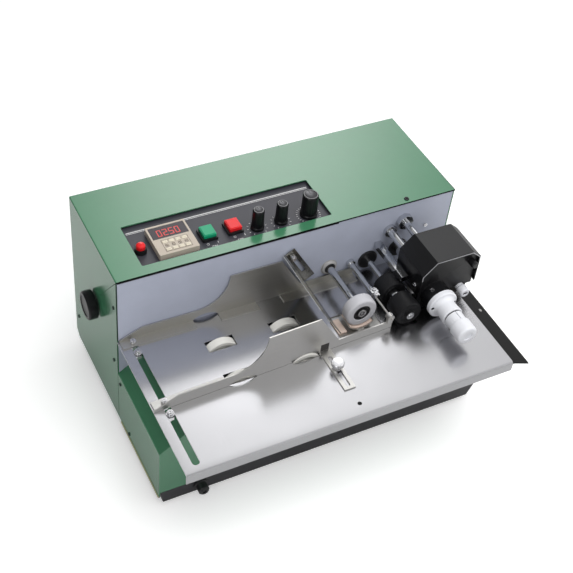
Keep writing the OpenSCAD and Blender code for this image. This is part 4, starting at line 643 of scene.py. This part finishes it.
def turnedAbout(mesh, pivot, degrees, axis):
    spot = at(*pivot)
    turn = Matrix.Rotation(math.radians(degrees), 4, axis)
    mesh.transform(Matrix.Translation(spot) @ turn @ Matrix.Translation(-spot))
    return mesh


# painted highlight: a near-white strip along the gate's top edge
gateHighlightSet = {"top": (205.7, 0, 218.51), "tilt": 31.5, "width": 2.4, "reach": (-94.9, -1.4),
           "height": (-0.2, 0.12)}
gateX, gateZ = gateHighlightSet["top"][0], gateHighlightSet["top"][2]
gateHighlightMesh = boxesMesh("gateHighlight", [
    ((gateX, gateHighlightSet["reach"][0], gateZ + gateHighlightSet["height"][0]),
     (gateX + gateHighlightSet["width"], gateHighlightSet["reach"][1], gateZ + gateHighlightSet["height"][1]))])
piece("gateHighlight", turnedAbout(gateHighlightMesh, gateHighlightSet["top"], -gateHighlightSet["tilt"], "Y"), paint["paintedEdgeHighlight"], "gate")

# painted shade: a dark sheet over the window that the arm's tab was bent out of
armShadeSet = {"box": ((208.6, -112.12, 156.9), (219.4, -111.7, 167.5)), "pivot": (0, -112, 0), "skew": 2.5}
piece("shadeInArmWindow",
      turnedAbout(boxesMesh("shadeInArmWindow", [armShadeSet["box"]]), armShadeSet["pivot"], armShadeSet["skew"], "Z"),
      paint["shadeDark"], "guide")

# the bare cut edge of the head's cover, made pale also as a painted highlight along it
headHighlightSet = {"line": [(344.5, 207), (344.5, 214), (361.5, 231.5), (412, 231.5), (424, 221), (424, 214)],
           "width": 1.15, "front": -89.5, "raised": 0.06, "sunk": -0.2}


def edgeStrip(name, edge):  # a flat strip along the inside of an outline of x and z
    line = [Vector(spot) for spot in edge["line"]]
    ways = [(b - a).normalized() for a, b in zip(line, line[1:])]
    work = bmesh.new()
    rows = []
    for k, spot in enumerate(line):
        inward = [Vector((way.y, -way.x)) for way in (ways[max(k - 1, 0)], ways[min(k, len(ways) - 1)])]
        inner = spot + (inward[0] + inward[1]) * edge["width"] / (1 + inward[0].dot(inward[1]))
        rows.append([work.verts.new(at(x, edge["front"] - out, z)) for x, z in (spot, inner)
                     for out in (edge["raised"], edge["sunk"])])
    for low, high in zip(rows, rows[1:]):
        for a, b in ((0, 2), (2, 3), (3, 1), (1, 0)):
            work.faces.new((low[a], low[b], high[b], high[a]))
    bmesh.ops.recalc_face_normals(work, faces=work.faces)
    mesh = bpy.data.meshes.new(name)
    work.to_mesh(mesh)
    work.free()
    return mesh


piece("headHighlightEdge", edgeStrip("headHighlightEdge", headHighlightSet), paint["bareEdgeAndHighlight"], "frame")
print("fittings added:", len(fittings) + len(turnedSets), "and four slots and edges")

# stage: camera, light and floor
cameraSet = {"place": (-507.66, -815.44, 1140.18), "right": (0.89156, -0.44493, 0.08459),
             "ahead": (0.36923, 0.60591, -0.70466), "lens": 72.46, "sensor": 36, "clip": (0.01, 30)}
camera = bpy.data.objects.new("photoCamera", bpy.data.cameras.new("photoCamera"))
scene.collection.objects.link(camera)
ahead = Vector(cameraSet["ahead"]).normalized()
sideways = Vector(cameraSet["right"])
sideways = (sideways - sideways.dot(ahead) * ahead).normalized()
turned = Matrix((sideways, (-ahead).cross(sideways), -ahead)).transposed().to_4x4()
turned.translation = Vector(cameraSet["place"]) / 1000
camera.matrix_world = turned
camera.data.sensor_width = cameraSet["sensor"]
camera.data.lens = cameraSet["lens"]
camera.data.clip_start, camera.data.clip_end = cameraSet["clip"]
scene.camera = camera

world = bpy.data.worlds.new("studio")
scene.world = world
world.use_nodes = True
sky = Wire(world.node_tree)
path = sky.node("ShaderNodeLightPath", None, None, "Is Camera Ray").socket.node
background = world.node_tree.nodes["Background"]
background.inputs["Color"].default_value = (1, 1, 1, 1)
toward = sky.node("ShaderNodeTexCoord", None, None, "Generated")
parts = sky.node("ShaderNodeSeparateXYZ", None, {"Vector": toward})
across, along, high = (Wire(world.node_tree, output) for output in parts.socket.node.outputs)


def ramp(value, start, end, low, high):
    return sky.node("ShaderNodeMapRange", {"interpolation_type": "SMOOTHSTEP"}, {
        "Value": value, "From Min": start, "From Max": end, "To Min": low, "To Max": high})


skySet = {  # start, end, low and high of each ramp
    "side": (-0.5, 0.3, 0.08, 0.75), "depth": (-0.7, 0.2, 0.6, 1.0),  # mirrors see a darker room on the left
    "rise": (0.2, 0.31, 0, 1), "fall": (0.42, 0.54, 1, 0),  # a bright patch behind and to the right
    "panelLight": (0.54, 0.66, 0.3, 3.3),
    "leftSide": (-0.45, -0.1, 1, 0), "leftHigh": (0.46, 0.56, 0, 0.4),  # a paler ceiling on the left
    "soft": (-0.8, 0.8, 0.2, 0.75),  # what matt surfaces get
}
seen = ramp(across, *skySet["side"]) * ramp(along, *skySet["depth"]) + (
    ramp(across, *skySet["rise"]) * ramp(across, *skySet["fall"]) * ramp(along, *skySet["panelLight"])) + (
    ramp(across, *skySet["leftSide"]) * ramp(high, *skySet["leftHigh"]))
shiny = sky.sum("MAXIMUM", Wire(world.node_tree, path.outputs["Is Glossy Ray"]),
                Wire(world.node_tree, path.outputs["Is Transmission Ray"]))
backing = Wire(world.node_tree, path.outputs["Is Camera Ray"])
strength = backing + (1 - backing) * (shiny * seen + (1 - shiny) * ramp(across, *skySet["soft"]))
world.node_tree.links.new(strength.socket, background.inputs["Strength"])

lamps = {"overhead": {"place": (0.2, -0.35, 1.6), "aim": (0, 0, 0.1), "size": (1.6, 1.2), "power": 17.5,
                      "mirror": False},
         "window": {"place": (-1.3, -1.2, 1.2), "aim": (0, 0, 0.12), "size": (1.0, 1.0), "power": 6.5,
                    "mirror": True},
         "fill": {"place": (1.5, -1.1, 0.9), "aim": (0, 0, 0.12), "size": (1.0, 1.0), "power": 1.8,
                  "mirror": True}}
for name, lamp in lamps.items():
    data = bpy.data.lights.new(name, "AREA")
    data.shape = "RECTANGLE"
    data.size, data.size_y = lamp["size"]
    data.energy = lamp["power"]
    lampObject = bpy.data.objects.new(name, data)
    scene.collection.objects.link(lampObject)
    lampObject.location = lamp["place"]
    lampObject.visible_glossy = lamp["mirror"]
    beam = Vector(lamp["aim"]) - Vector(lamp["place"])
    lampObject.rotation_euler = beam.to_track_quat("-Z", "Y").to_euler()

floorSet = {"half": 6.0, "colour": (0.92, 0.92, 0.92, 1), "rough": 0.9, "shine": 0.1, "lift": 0.35}
floorMesh = bpy.data.meshes.new("floor")
floorCorners = [(x * floorSet["half"], y * floorSet["half"], 0)
                for x, y in ((-1, -1), (1, -1), (1, 1), (-1, 1))]
floorMesh.from_pydata(floorCorners, [], [(0, 1, 2, 3)])
floor = bpy.data.objects.new("floor", floorMesh)
scene.collection.objects.link(floor)
floorFinish = bpy.data.materials.new("floorFinish")
floorFinish.use_nodes = True
floorShader = floorFinish.node_tree.nodes["Principled BSDF"]
floorShader.inputs["Base Color"].default_value = floorSet["colour"]
floorShader.inputs["Roughness"].default_value = floorSet["rough"]
floorShader.inputs["Specular IOR Level"].default_value = floorSet["shine"]
floorShader.inputs["Emission Color"].default_value = (1, 1, 1, 1)
floorRay = Wire(floorFinish.node_tree).node("ShaderNodeLightPath", None, None, "Is Camera Ray")
floorFinish.node_tree.links.new((floorRay * floorSet["lift"]).socket,
                                floorShader.inputs["Emission Strength"])
floorMesh.materials.append(floorFinish)
print("stage set")
